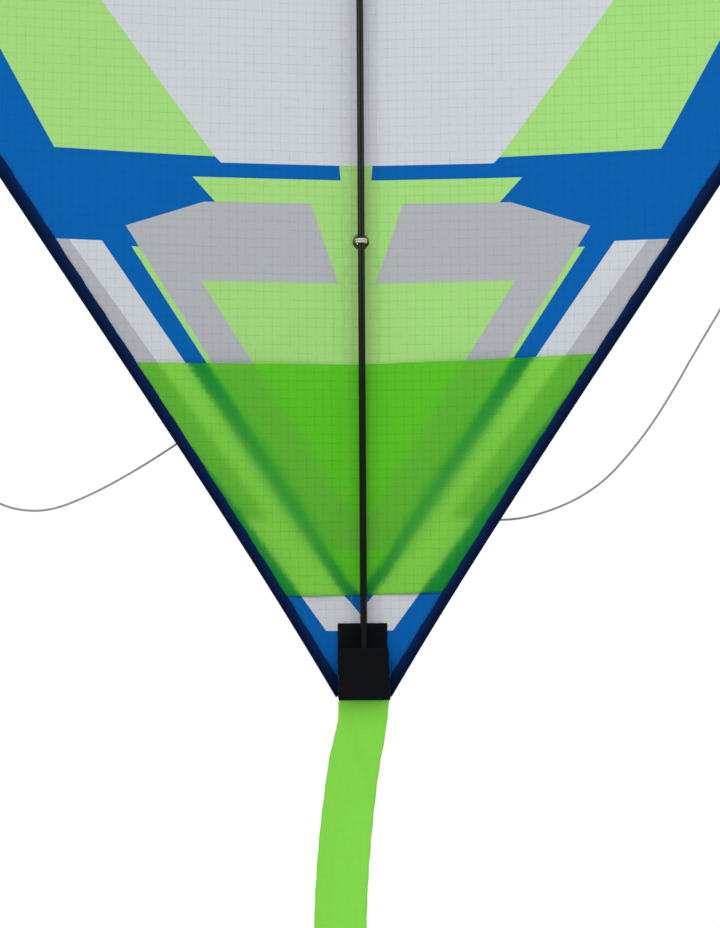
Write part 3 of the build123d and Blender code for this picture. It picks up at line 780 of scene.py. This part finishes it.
SHEET = 0.15 * MM
sails = {}
for word, side in SIDES.items():
    points, triangles, colours = cut_sheet(side, wing_outline(), 7.0)
    across, up = points[:, 0] * MM, points[:, 1] * MM
    flat = np.stack([across, CLOTH_Y + swell(side, across, up), up], -1)
    sail = add_object(f"sail_{word}_cloth", place(side, flat), triangles[:, ::side], list(CLOTH.values()), colours)
    store_cloth_place(sail, np.stack([side * across, up], -1))
    sails[word] = thicken(sail, SHEET)
    print(sail.name, len(points), "points", len(triangles), "triangles")

# %% [markdown]
# The two halves are joined down the middle by a seam whose folded allowance lies on the back, under the
# spine. It is a second layer of the same print, so the light comes through it less and its colours look
# deeper. Two rows of stitching hold it flat.

# %% Centre seam
SEAM_Y = CLOTH_Y - 0.24 * MM


def deeper(colour):
    return tuple(c**1.06 * 0.98 for c in colour)


SEAM_CLOTH = [ripstop(f"{word} seam", deeper(colour), glow=0.22) for word, colour in
              (("blue", BLUE), ("light green", LIME), ("white", WHITE), ("grey", GREY))]
seam_outline = [(0, TAIL_EDGE / MM + 2.5), (SEAM_HALF / MM, TAIL_EDGE / MM + 2.5),
                (SEAM_HALF / MM, NOSE_EDGE / MM - 3), (0, NOSE_EDGE / MM - 3)]
seam_points, seam_faces, seam_colours, met = [], [], [], 0
for side in SIDES.values():
    points, triangles, colours = cut_sheet(side, seam_outline, 3.0)
    across, up = points[:, 0] * MM, points[:, 1] * MM
    lifted_edge = 0.08 * MM * (across / SEAM_HALF) ** 4 * (1 + np.sin(900 * up))
    seam_points.append(place(side, np.stack([across, SEAM_Y - lifted_edge, up], -1)))
    seam_faces.append(triangles[:, ::side] + met)
    seam_colours.append(colours)
    met += len(points)
seam = add_object("centre_seam_cloth", np.concatenate(seam_points), np.concatenate(seam_faces), SEAM_CLOTH,
                  np.concatenate(seam_colours))
work = bmesh.new()
work.from_mesh(seam.data)
bmesh.ops.remove_doubles(work, verts=work.verts, dist=0.001 * MM)
work.to_mesh(seam.data)
work.free()
store_cloth_place(seam, points_of(seam)[:, ::2])
thicken(seam, SHEET)
print(seam.name, len(seam.data.vertices), "points")

# %% [markdown]
# ## The green band
#
# Low on the back a separate band of green cloth is sewn over the print, edge to edge. It is thin enough
# to see the print through, softened where the two layers stand apart and sharp where they touch. The
# band carries that as its own colour: the print, seen through green, is blurred on a 1 mm raster by two
# bell-shaped averages, and each point of the band takes a share of the two.

# %% Band colours
BAND_TOP, BAND_LOW = (float(node_box("rear_panel_right")[k][2]) for k in (1, 0))
SEEN_THROUGH = np.array([paint(14, 140, 54), paint(94, 203, 38), paint(132, 216, 76), paint(99, 186, 54)])


def bell(count, spread):
    """Row-by-row weights of a bell-shaped average over a line of count samples."""
    apart = np.arange(count)[:, None] - np.arange(count)[None, :]
    weights = np.exp(-0.5 * (apart / spread) ** 2)
    return weights / weights.sum(1, keepdims=True)


def print_through(side, across, up, apart):
    """The print's colour through the band at flat points, sharper where apart is 0 and softer where it is 1."""
    lefts, ups = np.arange(-30.0, 171.0), np.arange(-730.0, -529.0)
    raster = SEEN_THROUGH[colour_at(side, np.stack(np.meshgrid(np.abs(lefts), ups), -1))]
    column = np.clip(np.rint(across / MM - lefts[0]).astype(int), 0, len(lefts) - 1)
    row = np.clip(np.rint(up / MM - ups[0]).astype(int), 0, len(ups) - 1)
    soft = []
    for spread in (1.0, 3.8):
        half = np.einsum("ij,jkc->ikc", bell(len(ups), spread), raster)
        soft.append(np.einsum("kl,ilc->ikc", bell(len(lefts), spread), half)[row, column])
    return soft[0] + (soft[1] - soft[0]) * apart[..., None]


# %% Band halves
BAND = ripstop("green band", BAND_GREEN, glow=0.22, tint="tint")
BAND_INSET = 5.4 * MM
CREASE = np.array([[11.0, -571.0], [24.0, -617.0]]) * MM
ASKEW = {"left": [(-0.3, -0.7), (-1.1, -1.9)], "right": [(-0.3, 1.3), (-1.1, 2.6)]}
bands = {}
for word, side in SIDES.items():
    s, t = np.meshgrid(np.linspace(0, 1, 80), np.linspace(0, 1, 88))
    low_drop, top_drop = (near + (far - near) * s**1.2 for near, far in ASKEW[word])
    up = BAND_LOW + (BAND_TOP - BAND_LOW) * t + MM * (low_drop + (top_drop - low_drop) * t)
    across = s * (edge_at(up) - BAND_INSET)
    apart = np.sin(np.pi * np.clip(t, 0, 1)) ** 0.7 * np.sin(np.pi * np.clip(0.08 + 0.92 * s, 0, 1)) ** 0.6
    over_seam = np.clip((SEAM_HALF + 2.5 * MM - across) / (2 * MM), 0, 1)
    front = CLOTH_Y - 0.26 * MM - 0.95 * MM * apart - 0.36 * MM * over_seam * over_seam * (3 - 2 * over_seam)
    way = CREASE[1] - CREASE[0]
    share = np.clip(((across - CREASE[0][0]) * way[0] + (up - CREASE[0][1]) * way[1]) / (way @ way), 0, 1)
    off = np.hypot(across - CREASE[0][0] - share * way[0], up - CREASE[0][1] - share * way[1])
    front -= 0.45 * MM * np.exp(-((off / (1.6 * MM)) ** 2)) * (side > 0)
    flat = np.stack([across, front, up], -1)
    quads = grid_quads(*across.shape)
    band = add_object(f"green_band_{word}", place(side, flat).reshape(-1, 3), quads[:, ::side], [BAND])
    store_cloth_place(band, np.stack([side * across + 1.7 * MM, up + 0.9 * MM], -1).reshape(-1, 2))
    tint = band.data.color_attributes.new("tint", "FLOAT_COLOR", "POINT")
    colour = print_through(side, across, up, apart)
    tint.data.foreach_set("color", np.concatenate([colour, np.ones(across.shape + (1,))], -1).ravel())
    bands[word] = thicken(band, 0.12 * MM)
    print(band.name, len(quads), "quads")

# %% [markdown]
# ## Edge binding and stitching
#
# A navy tape is folded over each raw edge and stitched through. Its section is a narrow U whose walls
# hold the cloth, carried along the edge; the inner lips wander a little, as sewn tape does. Each stitch
# is a short, six-sided bead that dips into the cloth at both ends, placed along a line at one pitch.

# %% Binding tape
TAPE_WALL = 0.45 * MM
TAPE_OUT = 0.85 * MM


def inward_from(start, end):
    """The flat direction square to the edge from start to end, toward the kite's middle."""
    along = (end - start) / np.linalg.norm(end - start)
    inward = np.array([-along[1], along[0]])
    return inward * -np.sign(inward[0])


def folded_tape(name, side, start, end, finish, sway):
    """A U of tape from one flat point of an edge to another. Its wall runs in along the front, round the
    fold and back along the rear: distances in from the edge and forward of the cloth."""
    start, end = np.array(start), np.array(end)
    inward = inward_from(start, end)
    t = np.linspace(0, 1, 200)[:, None]
    turn = np.linspace(np.pi / 2, 3 * np.pi / 2, 9)
    hollow = TAPE_OUT - TAPE_WALL
    outer = np.c_[TAPE_OUT * (1 + np.cos(turn)), TAPE_OUT * np.sin(turn)]
    inner = np.c_[TAPE_OUT + hollow * np.cos(turn), hollow * np.sin(turn)][::-1]
    lip = np.array([[TAPE_WIDTH, TAPE_OUT - 0.1 * MM], [TAPE_WIDTH - 0.2 * MM, TAPE_OUT]])
    lip_back = lip[::-1] * (1, -1)
    lip_in = np.array([[TAPE_WIDTH - 0.1 * MM, -hollow]])
    profile = np.vstack([lip, outer, lip_back, lip_in, inner, lip_in * (1, -1)])
    length = float(np.linalg.norm(end - start))
    wander = 0.16 * MM * np.sin(length * t * 260 + sway) + 0.1 * MM * np.sin(length * t * 610 + 2 * sway)
    pucker = 1 + 0.05 * np.sin(length * t * 1900 + sway)
    reach = profile[None, :, 0] + wander * (profile[None, :, 0] / TAPE_WIDTH) ** 2
    forward = CLOTH_Y + profile[None, :, 1] * pucker
    base = start + (end - start) * t
    flat = np.stack([base[:, :1] + inward[0] * reach, forward, base[:, 1:] + inward[1] * reach], -1)
    return skin(name, place(side, flat), finish, flat=np.stack([reach, length * t + 0 * reach], -1))


def stitch_row(side, points, lift, pitch=3.0 * MM):
    """Both ends of each stitch bead along a line of flat points (across, forward, up), in space. Side 0 is
    for the middle pieces, which no wing turns."""
    points = np.array(points, float)
    run = np.r_[0, np.cumsum(np.linalg.norm(np.diff(points, axis=0), axis=1))]
    count = max(1, int(run[-1] / pitch))
    starts = (np.arange(count) + 0.12) * run[-1] / count
    ends = (np.arange(count) + 0.88) * run[-1] / count
    ends_at = [np.stack([np.interp(at, run, points[:, k]) for k in range(3)], -1) for at in (starts, ends)]
    ends_at = [place(side, at + (0.0, lift, 0.0)) if side else at + (0.0, lift, 0.0) for at in ends_at]
    return np.stack(ends_at, 1)


def stitches(name, rows, finish, radius=0.17 * MM):
    """All the beads of some stitch rows as one piece: radius * sqrt(1 - 0.9 t^2) round each stitch's line."""
    ends = np.concatenate(rows)
    along = ends[:, 1] - ends[:, 0]
    way = along / np.linalg.norm(along, axis=1)[:, None]
    flatways = np.cross(way, (0.0, 1.0, 0.0))
    flatways /= np.linalg.norm(flatways, axis=1)[:, None]
    proud = np.cross(flatways, way)
    t = np.array([-1.0, -0.7, 0.7, 1.0])
    angle = np.linspace(0, 2 * np.pi, 6, endpoint=False)
    size = radius * np.sqrt(1 - 0.9 * t**2)
    middle = ends.mean(1)[:, None, None] + along[:, None, None] * (t / 2)[None, :, None, None]
    ring = np.cos(angle)[:, None] * flatways[:, None, None] + np.sin(angle)[:, None] * proud[:, None, None]
    beads = middle + size[None, :, None, None] * ring
    count = len(ends)
    quads = grid_quads(4, 6, wrap=True)[None] + 24 * np.arange(count)[:, None, None]
    caps = np.array([np.arange(6)[::-1], np.arange(18, 24)])[None] + 24 * np.arange(count)[:, None, None]
    faces = list(quads.reshape(-1, 4)) + list(caps.reshape(-1, 6))
    return face_outwards(add_object(name, beads.reshape(-1, 3), faces, [finish]))


# %% Bind and stitch both wings
TIP_IN = {True: HALF_SPAN - 6 * MM, False: HALF_SPAN - 20 * MM}
TAPE_START = CORNER + 0.2 * MM


def on_edge(across, below):
    """The flat point (across, up) on the straight lower or upper edge line."""
    return across, (TAIL_EDGE if below else NOSE_EDGE) * (HALF_SPAN - across) / (HALF_SPAN - CORNER)


def row_beside(below, inset, forward):
    """Flat points of a line beside the edge, inset in from it."""
    start, end = (np.array(on_edge(across, below)) for across in (TAPE_START + 1 * MM, TIP_IN[below]))
    shift = inset * inward_from(start, end)
    line = np.array([(a, forward, b) for a, b in (start + shift, end + shift)])
    return line[0] + (line[1] - line[0]) * np.linspace(0, 1, 60)[:, None]


bindings, binding_stitches = {}, {}
for word, side in SIDES.items():
    for edge, below in (("lower", True), ("upper", False)):
        name = f"{edge}_binding_{word}"
        start, end = on_edge(TAPE_START, below), on_edge(TIP_IN[below], below)
        bindings[word, edge] = folded_tape(name, side, start, end, BINDING, 2.1 * side + below)
        rows = []
        for proud in (-1, 1):
            line = row_beside(below, TAPE_WIDTH - 1.4 * MM, CLOTH_Y + proud * TAPE_OUT)
            rows.append(stitch_row(side, line, 0.02 * MM * proud))
        binding_stitches[word, edge] = stitches(f"{edge}_binding_stitches_{word}", rows, NAVY_THREAD)
        print(name, "with", sum(map(len, rows)), "stitches")

# %% [markdown]
# ## Webbing
#
# Black webbing protects every place where a rod meets the cloth. Flat pieces are a rounded-corner
# section carried along their length, with edges that wander like a woven selvedge. The pockets at the
# nose and the wing tips are short sleeves sewn shut at their sides: their section is flat at both edges
# and swells over the rod's cap, and it closes to a fold at the end. The tail pocket is a patch behind the
# cloth's end, a flap that turns up over the spine's foot, and a short fixed fold and sill between them.


# %% Flat webbing
def web_section(points=56):
    """Unit section of a flat strap: x = sign(c)|c|^0.22, y = sign(s)|s|^0.45, a box with round edges."""
    turn = np.linspace(0, 2 * np.pi, points, endpoint=False) + np.pi / points
    c, s = np.cos(turn), np.sin(turn)
    return np.sign(c) * np.abs(c) ** 0.22, np.sign(s) * np.abs(s) ** 0.45


def strap(name, low, high, half_low, half_high, rear, front, finish, sway=0.1 * MM, rows=60, ridge=0.0, seed=0.0,
          aside=0.0):
    """A flat woven piece across the middle, from height low to high. Its half width runs from half_low to
    half_high and wanders by sway; ridge lifts its rear over the spine's line by a bell curve, and aside moves
    it sideways."""
    t = np.linspace(0, 1, rows)[:, None]
    ease = np.clip(np.minimum(t, 1 - t) * (high - low) / (0.35 * MM), 0, 1)
    ends = 0.55 + 0.45 * np.sqrt(1 - (1 - ease) ** 2)
    up = low + (high - low) * t
    x, y = web_section()
    half = half_low + (half_high - half_low) * t + sway * np.sin(up * 620 + seed) * np.sin(up * 233 + 2 * seed)
    across = half * x[None] * (1 - (1 - ends) * 0.02)
    thick = (front - rear) / 2
    over_spine = ridge * np.exp(-((across / (2.6 * MM)) ** 2)) * t**0.6
    forward = (front + rear) / 2 + thick * ends * y[None] - over_spine
    return skin(name, np.stack([across + aside, forward, up + 0 * across], -1), finish)


(_, patch_rear, patch_low), (patch_half, _, patch_high) = node_box("tail_patch")
(_, flap_rear, flap_low), (flap_half, flap_front, flap_high) = node_box("tail_flap")
(_, seam_rear, seam_low), (tail_seam_half, seam_front, seam_high) = node_box("tail_seam")
PATCH_REAR, PATCH_FRONT = CLOTH_Y - 1.55 * MM, CLOTH_Y - 0.4 * MM
# Painted shade: the tail's seam beside the pocket is its light green cloth painted dark green, as it lies in shade
# beside the black webbing, and it lets no light through.
SHADE_PAINTED_SEAM = ripstop("shaded green seam", paint(50, 105, 45), glow=0.0)
tail_patch = strap("tail_patch_webbing", patch_low + 0.1 * MM, patch_high, patch_half + 0.3 * MM,
                   patch_half + 0.1 * MM, PATCH_REAR, PATCH_FRONT, WEBBING, seed=1.0, aside=-0.45 * MM)
tail_flap = strap("tail_flap_webbing", flap_low - 0.45 * MM, flap_high, flap_half + 0.1 * MM, flap_half - 1.0 * MM,
                  flap_rear, flap_front, WEBBING, sway=0.16 * MM, ridge=0.35 * MM, seed=2.4)
tail_fold = strap("tail_pocket_fold", flap_low - 1.3 * MM, flap_low - 0.5 * MM, flap_half - 0.1 * MM,
                  flap_half + 0.1 * MM, flap_front - 0.15 * MM, flap_front + 0.8 * MM, WEBBING, rows=12, seed=2.4)
tail_sill = strap("tail_patch_sill", patch_low, patch_low + 1.2 * MM, patch_half - 0.1 * MM, patch_half - 0.1 * MM,
                  patch_rear + 0.25 * MM, PATCH_REAR + 0.4 * MM, WEBBING, rows=16, seed=1.0)
tail_seam = strap("tail_seam_cloth", seam_low, seam_high, tail_seam_half - 0.75 * MM, tail_seam_half - 0.8 * MM,
                  seam_rear, seam_front, SHADE_PAINTED_SEAM, sway=0.05 * MM, rows=20, aside=0.45 * MM)
print(tail_patch.name, tail_sill.name, tail_flap.name, tail_fold.name)
store_cloth_place(tail_seam, points_of(tail_seam)[:, ::2])


# %% Pockets
def pocket(name, to_space, length, half, rear, front, finish):
    """A sleeve from its mouth to its fold. At each place across, its front is a low arch and its rear a
    raised cosine over the rod; both come together over the last 2 mm as a quarter circle does."""
    seam = CLOTH_Y
    turn = np.linspace(0, 2 * np.pi, 72, endpoint=False)[None, :]
    t = np.r_[np.linspace(0, 0.93, 30), 1 - 0.07 * (1 - np.sin(np.linspace(0, np.pi / 2, 9)[1:]))][:, None]
    x = np.cos(turn)
    over_rod = 0.5 + 0.5 * np.cos(np.pi * np.abs(x) ** 0.9)
    arch = np.sqrt(np.clip(1 - x**2, 0, 1))
    side_wall = 1.05 * MM * arch**0.25
    to_front = side_wall + (front - seam - 1.05 * MM) * arch
    to_rear = -side_wall - (seam - rear - 1.05 * MM) * over_rod
    near_end = np.clip((1 - t) * length / (2.2 * MM), 0, 1)
    closing = 0.03 + 0.97 * np.sqrt(1 - (1 - near_end) ** 2)
    away = np.where(np.sin(turn) >= 0, to_front, to_rear)
    middle = (to_front + to_rear) / 2
    forward = seam + middle + (away - middle) * closing
    selvedge = 0.14 * MM * np.sin(t * length * 700 + 2 * x) * np.abs(x) ** 4
    across = x * (half - 0.1 * MM) + selvedge + 0 * t
    along = length * t + 0 * x
    piece = skin(name, to_space(along, across, forward), finish, ends=(False, True))
    return thicken(piece, 0.9 * MM, -1.0)


(_, nose_rear, nose_low), (nose_half, nose_front, nose_high) = node_box("nose_pocket")
TIP_HALF, TIP_LENGTH = node_box("tip_pocket_right")[1][2], 36 * MM


def to_nose(along, across, forward):
    return np.stack([across, forward, nose_low + along], -1)


def to_tip(side):
    return lambda along, across, forward: place(side, np.stack([HALF_SPAN - TIP_LENGTH + along, forward, across], -1))


nose_pocket = pocket("nose_pocket_webbing", to_nose, nose_high - nose_low, nose_half, nose_rear + 0.05 * MM,
                     nose_front - 0.05 * MM, WEBBING)
tip_pockets = {word: pocket(f"tip_pocket_{word}_webbing", to_tip(side), TIP_LENGTH, TIP_HALF, nose_rear - 0.2 * MM,
                            nose_front - 0.05 * MM, WEBBING) for word, side in SIDES.items()}
print(nose_pocket.name, *(p.name for p in tip_pockets.values()))

# %% Patch over the hub
hub_patch = node_box("centre_patch")
PATCH_OUT = HINGE + 24 * MM
hub_patches = {}
for word, side in SIDES.items():
    t = np.linspace(0, 1, 48)[:, None]
    y, x = web_section()
    near_end = np.clip((1 - t) * PATCH_OUT / (0.4 * MM), 0, 1)
    rounding = 0.5 + 0.5 * np.sqrt(1 - (1 - near_end) ** 2)
    flat = np.stack([
        PATCH_OUT * t + 0 * x[None],
        CLOTH_Y + 0.95 * MM + 0.5 * MM * rounding * x[None],
        (hub_patch[1][2] + 0.1 * MM * np.sin(900 * PATCH_OUT * t)) * y[None],
    ], -1)
    hub_patches[word] = skin(f"centre_patch_{word}_webbing", place(side, flat), WEBBING)
    print(hub_patches[word].name)

# %% [markdown]
# ## Eyelets
#
# Three pressed brass eyelets let the bridle cords through the cloth. An eyelet is a profile turned about
# its own axis: a barrel through the cloth and a rolled flange on each face.

# %% Turn the eyelets
EYELET_PROFILE = np.array([
    (2.60, 0.60), (2.72, 0.86), (3.05, 0.95), (3.55, 0.86), (4.20, 0.64), (4.60, 0.42), (4.70, 0.27), (4.60, 0.14),
    (3.05, 0.14),
]) * MM


def eyelet(name, side, across, up):
    """The profile and its mirror image on the other face, turned about the flat point (across, up)."""
    profile = np.vstack([EYELET_PROFILE, EYELET_PROFILE[::-1] * (1, -1)])
    turn = np.linspace(0, 2 * np.pi, 64, endpoint=False)[:, None]
    reach = profile[None, :, 0]
    forward = CLOTH_Y + profile[None, :, 1] + 0 * turn
    flat = np.stack([across + reach * np.cos(turn), forward, up + reach * np.sin(turn)], -1)
    return skin(name, place(side, flat), BRASS, wrap_rows=True)


eyelets = {word: eyelet(f"wing_eyelet_{word}_brass", side, WING_EYELET, 0.0) for word, side in SIDES.items()}
lower_eyelet = eyelet("lower_eyelet_brass", 1, 0.0, EYELET_UP)
print(lower_eyelet.name, *(e.name for e in eyelets.values()))

# %% [markdown]
# ## Tail
#
# The tail is a plain ribbon of the light green cloth, one metre long, sewn to the lower webbing patch. It
# hangs in a slow wave to both sides. A soft fold runs down from its upper left corner, and it waves a
# little to the front and back.

# %% Tail ribbon
TAIL_TOP, TAIL_END = (float(node_box("tail_ribbon")[k][2]) for k in (1, 0))
TAIL_HALF = patch_half + 0.8 * MM
TAIL_Y = float(box_centre("tail_ribbon")[1])
TAIL = ripstop("light green tail", TAIL_GREEN, glow=0.3, squares=0.16)
s, t = np.meshgrid(np.linspace(-1, 1, 25), np.linspace(0, 1, 420))
down = (TAIL_TOP - TAIL_END) * t
free = np.clip(down / (60 * MM), 0, 1)
fold_off = (down / MM * 0.52 - 14.7 * (s + 1)) / np.hypot(0.52, 1)
fold = np.tanh(fold_off / 3.0) * np.exp(-((fold_off / 22.0) ** 2)) * np.clip(down / (8 * MM), 0, 1)
kink = 1.75 * MM * np.exp(-(((down / MM - 14) / 13) ** 2)) * (1 - s) / 2
kink += 0.7 * MM * np.exp(-(((down / MM - 20) / 13) ** 2)) * (1 + s) / 2
sway = -14 * MM * np.sin(2 * np.pi * down / 0.560)
forward = TAIL_Y - 1.3 * MM * fold + 2.4 * MM * free * np.sin(2 * np.pi * down / 0.31 + 0.5 * s)
forward += 0.5 * MM * free * s * np.sin(2 * np.pi * down / 0.17)
edge = 0.12 * MM * np.sin(down * 420 + 3 * s) * np.abs(s) ** 6
points = np.stack([TAIL_HALF * s + sway + kink + edge, forward, TAIL_TOP - down], -1)
tail = add_object("tail_ribbon_cloth", points.reshape(-1, 3), grid_quads(*s.shape), [TAIL])
store_cloth_place(tail, np.stack([TAIL_HALF * s + 1.3 * MM, TAIL_TOP - down], -1).reshape(-1, 2))
thicken(tail, 0.2 * MM)
print(tail.name, round(TAIL_TOP - TAIL_END, 3), "m long")

# %% [markdown]
# ## Stitching on the webbing
#
# Black thread follows the edges of the tail pocket's patch and flap, and crosses the flap above its fold
# and below its top. Two rows of fine pale thread run down the centre seam.

# %% Stitch rows on the middle pieces
inset = 1.6 * MM
x, low, high = patch_half - inset, patch_low + inset, patch_high - inset
patch_corners = [(-x, high), (-x, low), (x, low), (x, high), (-x, high)]
patch_rows = [stitch_row(0, [(a, PATCH_REAR, b) for a, b in patch_corners], 0.0)]
x, low, high = flap_half - inset, flap_low + 1 * MM, flap_high - inset
flap_lines = [((-x, low), (-x, high)), ((x, low), (x, high)),
              ((-x, flap_low + 2.9 * MM), (x, flap_low + 2.9 * MM)), ((-x, high), (x, high))]
flap_rows = [stitch_row(0, [(a, flap_rear, b) for a, b in line], 0.0) for line in flap_lines]
patch_stitches = stitches("tail_patch_stitches", patch_rows, BLACK_THREAD)
flap_stitches = stitches("tail_flap_stitches", flap_rows, BLACK_THREAD)
seam_rows = [stitch_row(0, [(x, SEAM_Y - 0.08 * MM, low), (x, SEAM_Y - 0.08 * MM, high)], 0.0, 2.6 * MM)
             for x in (-6.6 * MM, 6.6 * MM) for low, high in ((POCKET_TOP, -14 * MM), (14 * MM, NOSE_LOW))]
seam_stitches = stitches("centre_seam_stitches", seam_rows, PALE_THREAD, 0.06 * MM)
print(len(patch_rows[0]), sum(map(len, flap_rows)), sum(map(len, seam_rows)), "stitches")

# %% [markdown]
# ## Finishes for the frame's own pieces
#
# Rods, caps, hub, pins, ties and the hook-and-loop strips are already the right shape, so each one only
# takes its finish.

# %% Finish the rods, hub and ties
FRAME_FINISHES = {
    ROD: ["spine", "cross_spar_left", "cross_spar_right"],
    CAP: ["spine_foot_cap", "spine_nose_cap", "tip_cap_left", "tip_cap_right"],
    HUB: ["hub_body", "hub_collar_upper", "hub_collar_lower", "socket_arm_left", "socket_arm_right"],
    STEEL: ["hub_pin_left", "hub_pin_right"],
    WHITE_CORD: ["lower_tie", "wing_tie_left", "wing_tie_right"],
    GRIP: ["hook_strips", "loop_strips"],
}
for finish, nodes in FRAME_FINISHES.items():
    for node in nodes:
        for slot in frame["nodes"][node].material_slots:
            slot.material = finish
print("finished", sum(map(len, FRAME_FINISHES.values())), "frame nodes")

# %% [markdown]
# ## What moves with what
#
# The wings fold back on the hub pins. Cloth that crosses a pin, and the bridle cords, which hang between
# a wing and the spine, stay fixed where they are made and ride no body.
# The flap and the tail ride their own bodies.

# %% Bodies and replaced nodes
def belongs(piece, body, slot, *nodes):
    """Rides a piece on one body, or leaves it fixed where it is for a wing bend, and hides the nodes it replaces. The
    argument slot is not used.
    """
    if body.endswith("_wing_bend"):
        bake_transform(piece)
    else:
        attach(piece, body)
    if nodes:
        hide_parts(*nodes)


for word, sign in SIDES.items():
    bend, wing = f"{word}_wing_bend", f"{word}_wing"
    belongs(sails[word], bend, "sail", f"sail_{word}")
    belongs(bands[word], bend, "rear_panel", f"rear_panel_{word}")
    belongs(hub_patches[word], bend, "webbing", "centre_patch")
    belongs(tip_pockets[word], wing, "webbing", f"tip_pocket_{word}")
    belongs(eyelets[word], wing, "brass", f"wing_eyelet_{word}")
    for edge in ("lower", "upper"):
        belongs(bindings[word, edge], bend, "edge_tape", f"{edge}_edge_tape_{word}")
        belongs(binding_stitches[word, edge], bend, "edge_tape")
    belongs(knots[word], "frame", "cord", f"tow_knot_{word}")
    belongs(rings[word], "frame", "steel", f"tow_ring_{word}")
    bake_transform(cords[word])
    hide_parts(f"bridle_upper_{word}", f"bridle_lower_{word}")
belongs(seam, "frame", "seam_tape", "centre_seam_tape")
belongs(tail_patch, "frame", "webbing", "tail_patch")
belongs(patch_stitches, "frame", "webbing")
belongs(tail_seam, "frame", "tail", "tail_seam")
belongs(nose_pocket, "frame", "webbing", "nose_pocket")
belongs(lower_eyelet, "frame", "brass", "lower_eyelet")
belongs(seam_stitches, "frame", "seam_tape")
belongs(tail_sill, "frame", "webbing")
belongs(tail_flap, "tail_flap", "webbing", "tail_flap")
belongs(tail_fold, "frame", "webbing")
belongs(flap_stitches, "tail_flap", "webbing")
belongs(tail, "tail", "tail", "tail_ribbon")

# %% Sheet sizes
width, height = HALF_SPAN, NOSE_EDGE - TAIL_EDGE
for word in SIDES:
    area_of(wing_outline()) * MM * MM
    low, high = edge_at(BAND_LOW) - BAND_INSET, edge_at(BAND_TOP) - BAND_INSET
height - 5.5 * MM

# %% [markdown]
# ## Room and light
#
# A pale floor lies under the tail, and the sky is white: full white where it is seen, and softer as a
# light, so that the lamps still model the pieces. Two large soft lamps stand on the camera's side, the
# left one stronger, and a third one in front of the kite shines through the cloth. Colours are shown
# as they are, with no film curve.

# %% Floor, sky, lamps
def plain(name, colour, roughness):
    """A smooth matt finish whose roughness drifts slowly."""
    finish = Finish(name, colour, roughness)
    spot = finish.add("ShaderNodeTexCoord", {}, {}, "Object")
    finish.feed(Roughness=roughness + (finish.noise(spot, 3.0) - 0.5) * 0.1)
    return finish.material


SKY_LIGHT, FLOOR_HALF, FLOOR_UP = 0.48, 6.0, TAIL_END - 0.03
corners = np.array([(a * FLOOR_HALF, b * FLOOR_HALF, FLOOR_UP) for a, b in ((-1, -1), (1, -1), (1, 1), (-1, 1))])
add_object("floor", corners, [(0, 1, 2, 3)], [plain("pale floor", (0.86, 0.86, 0.86), 0.6)])

sky = bpy.data.worlds.new("white sky")
bpy.context.scene.world = sky
sky.use_nodes = True
backdrop = sky.node_tree.nodes["Background"]
backdrop.inputs["Color"].default_value = (1.0, 1.0, 1.0, 1.0)
seen = sky.node_tree.nodes.new("ShaderNodeLightPath").outputs["Is Camera Ray"]
strength = sky.node_tree.nodes.new("ShaderNodeMapRange")
strength.inputs["To Min"].default_value = SKY_LIGHT
strength.inputs["To Max"].default_value = 1.0
sky.node_tree.links.new(seen, strength.inputs["Value"])
sky.node_tree.links.new(strength.outputs["Result"], backdrop.inputs["Strength"])
bpy.context.scene.view_settings.view_transform = "Standard"


def lamp(name, at, size, watts):
    """A square soft lamp that faces the middle of the kite."""
    data = bpy.data.lights.new(name, "AREA")
    data.size, data.energy = size, watts
    light = bpy.data.objects.new(name, data)
    bpy.context.collection.objects.link(light)
    light.location = at
    light.rotation_euler = (Vector((0.0, 0.0, -0.5)) - Vector(at)).to_track_quat("-Z", "Y").to_euler()
    return light


lamp("left soft lamp", (-1.5, -1.6, 0.9), 2.6, 47.0)
lamp("right soft lamp", (1.7, -1.3, 0.8), 2.4, 30.0)
lamp("front lamp", (1.6, 1.7, 0.6), 1.8, 76.0)
print("lamps:", len(bpy.data.lights))
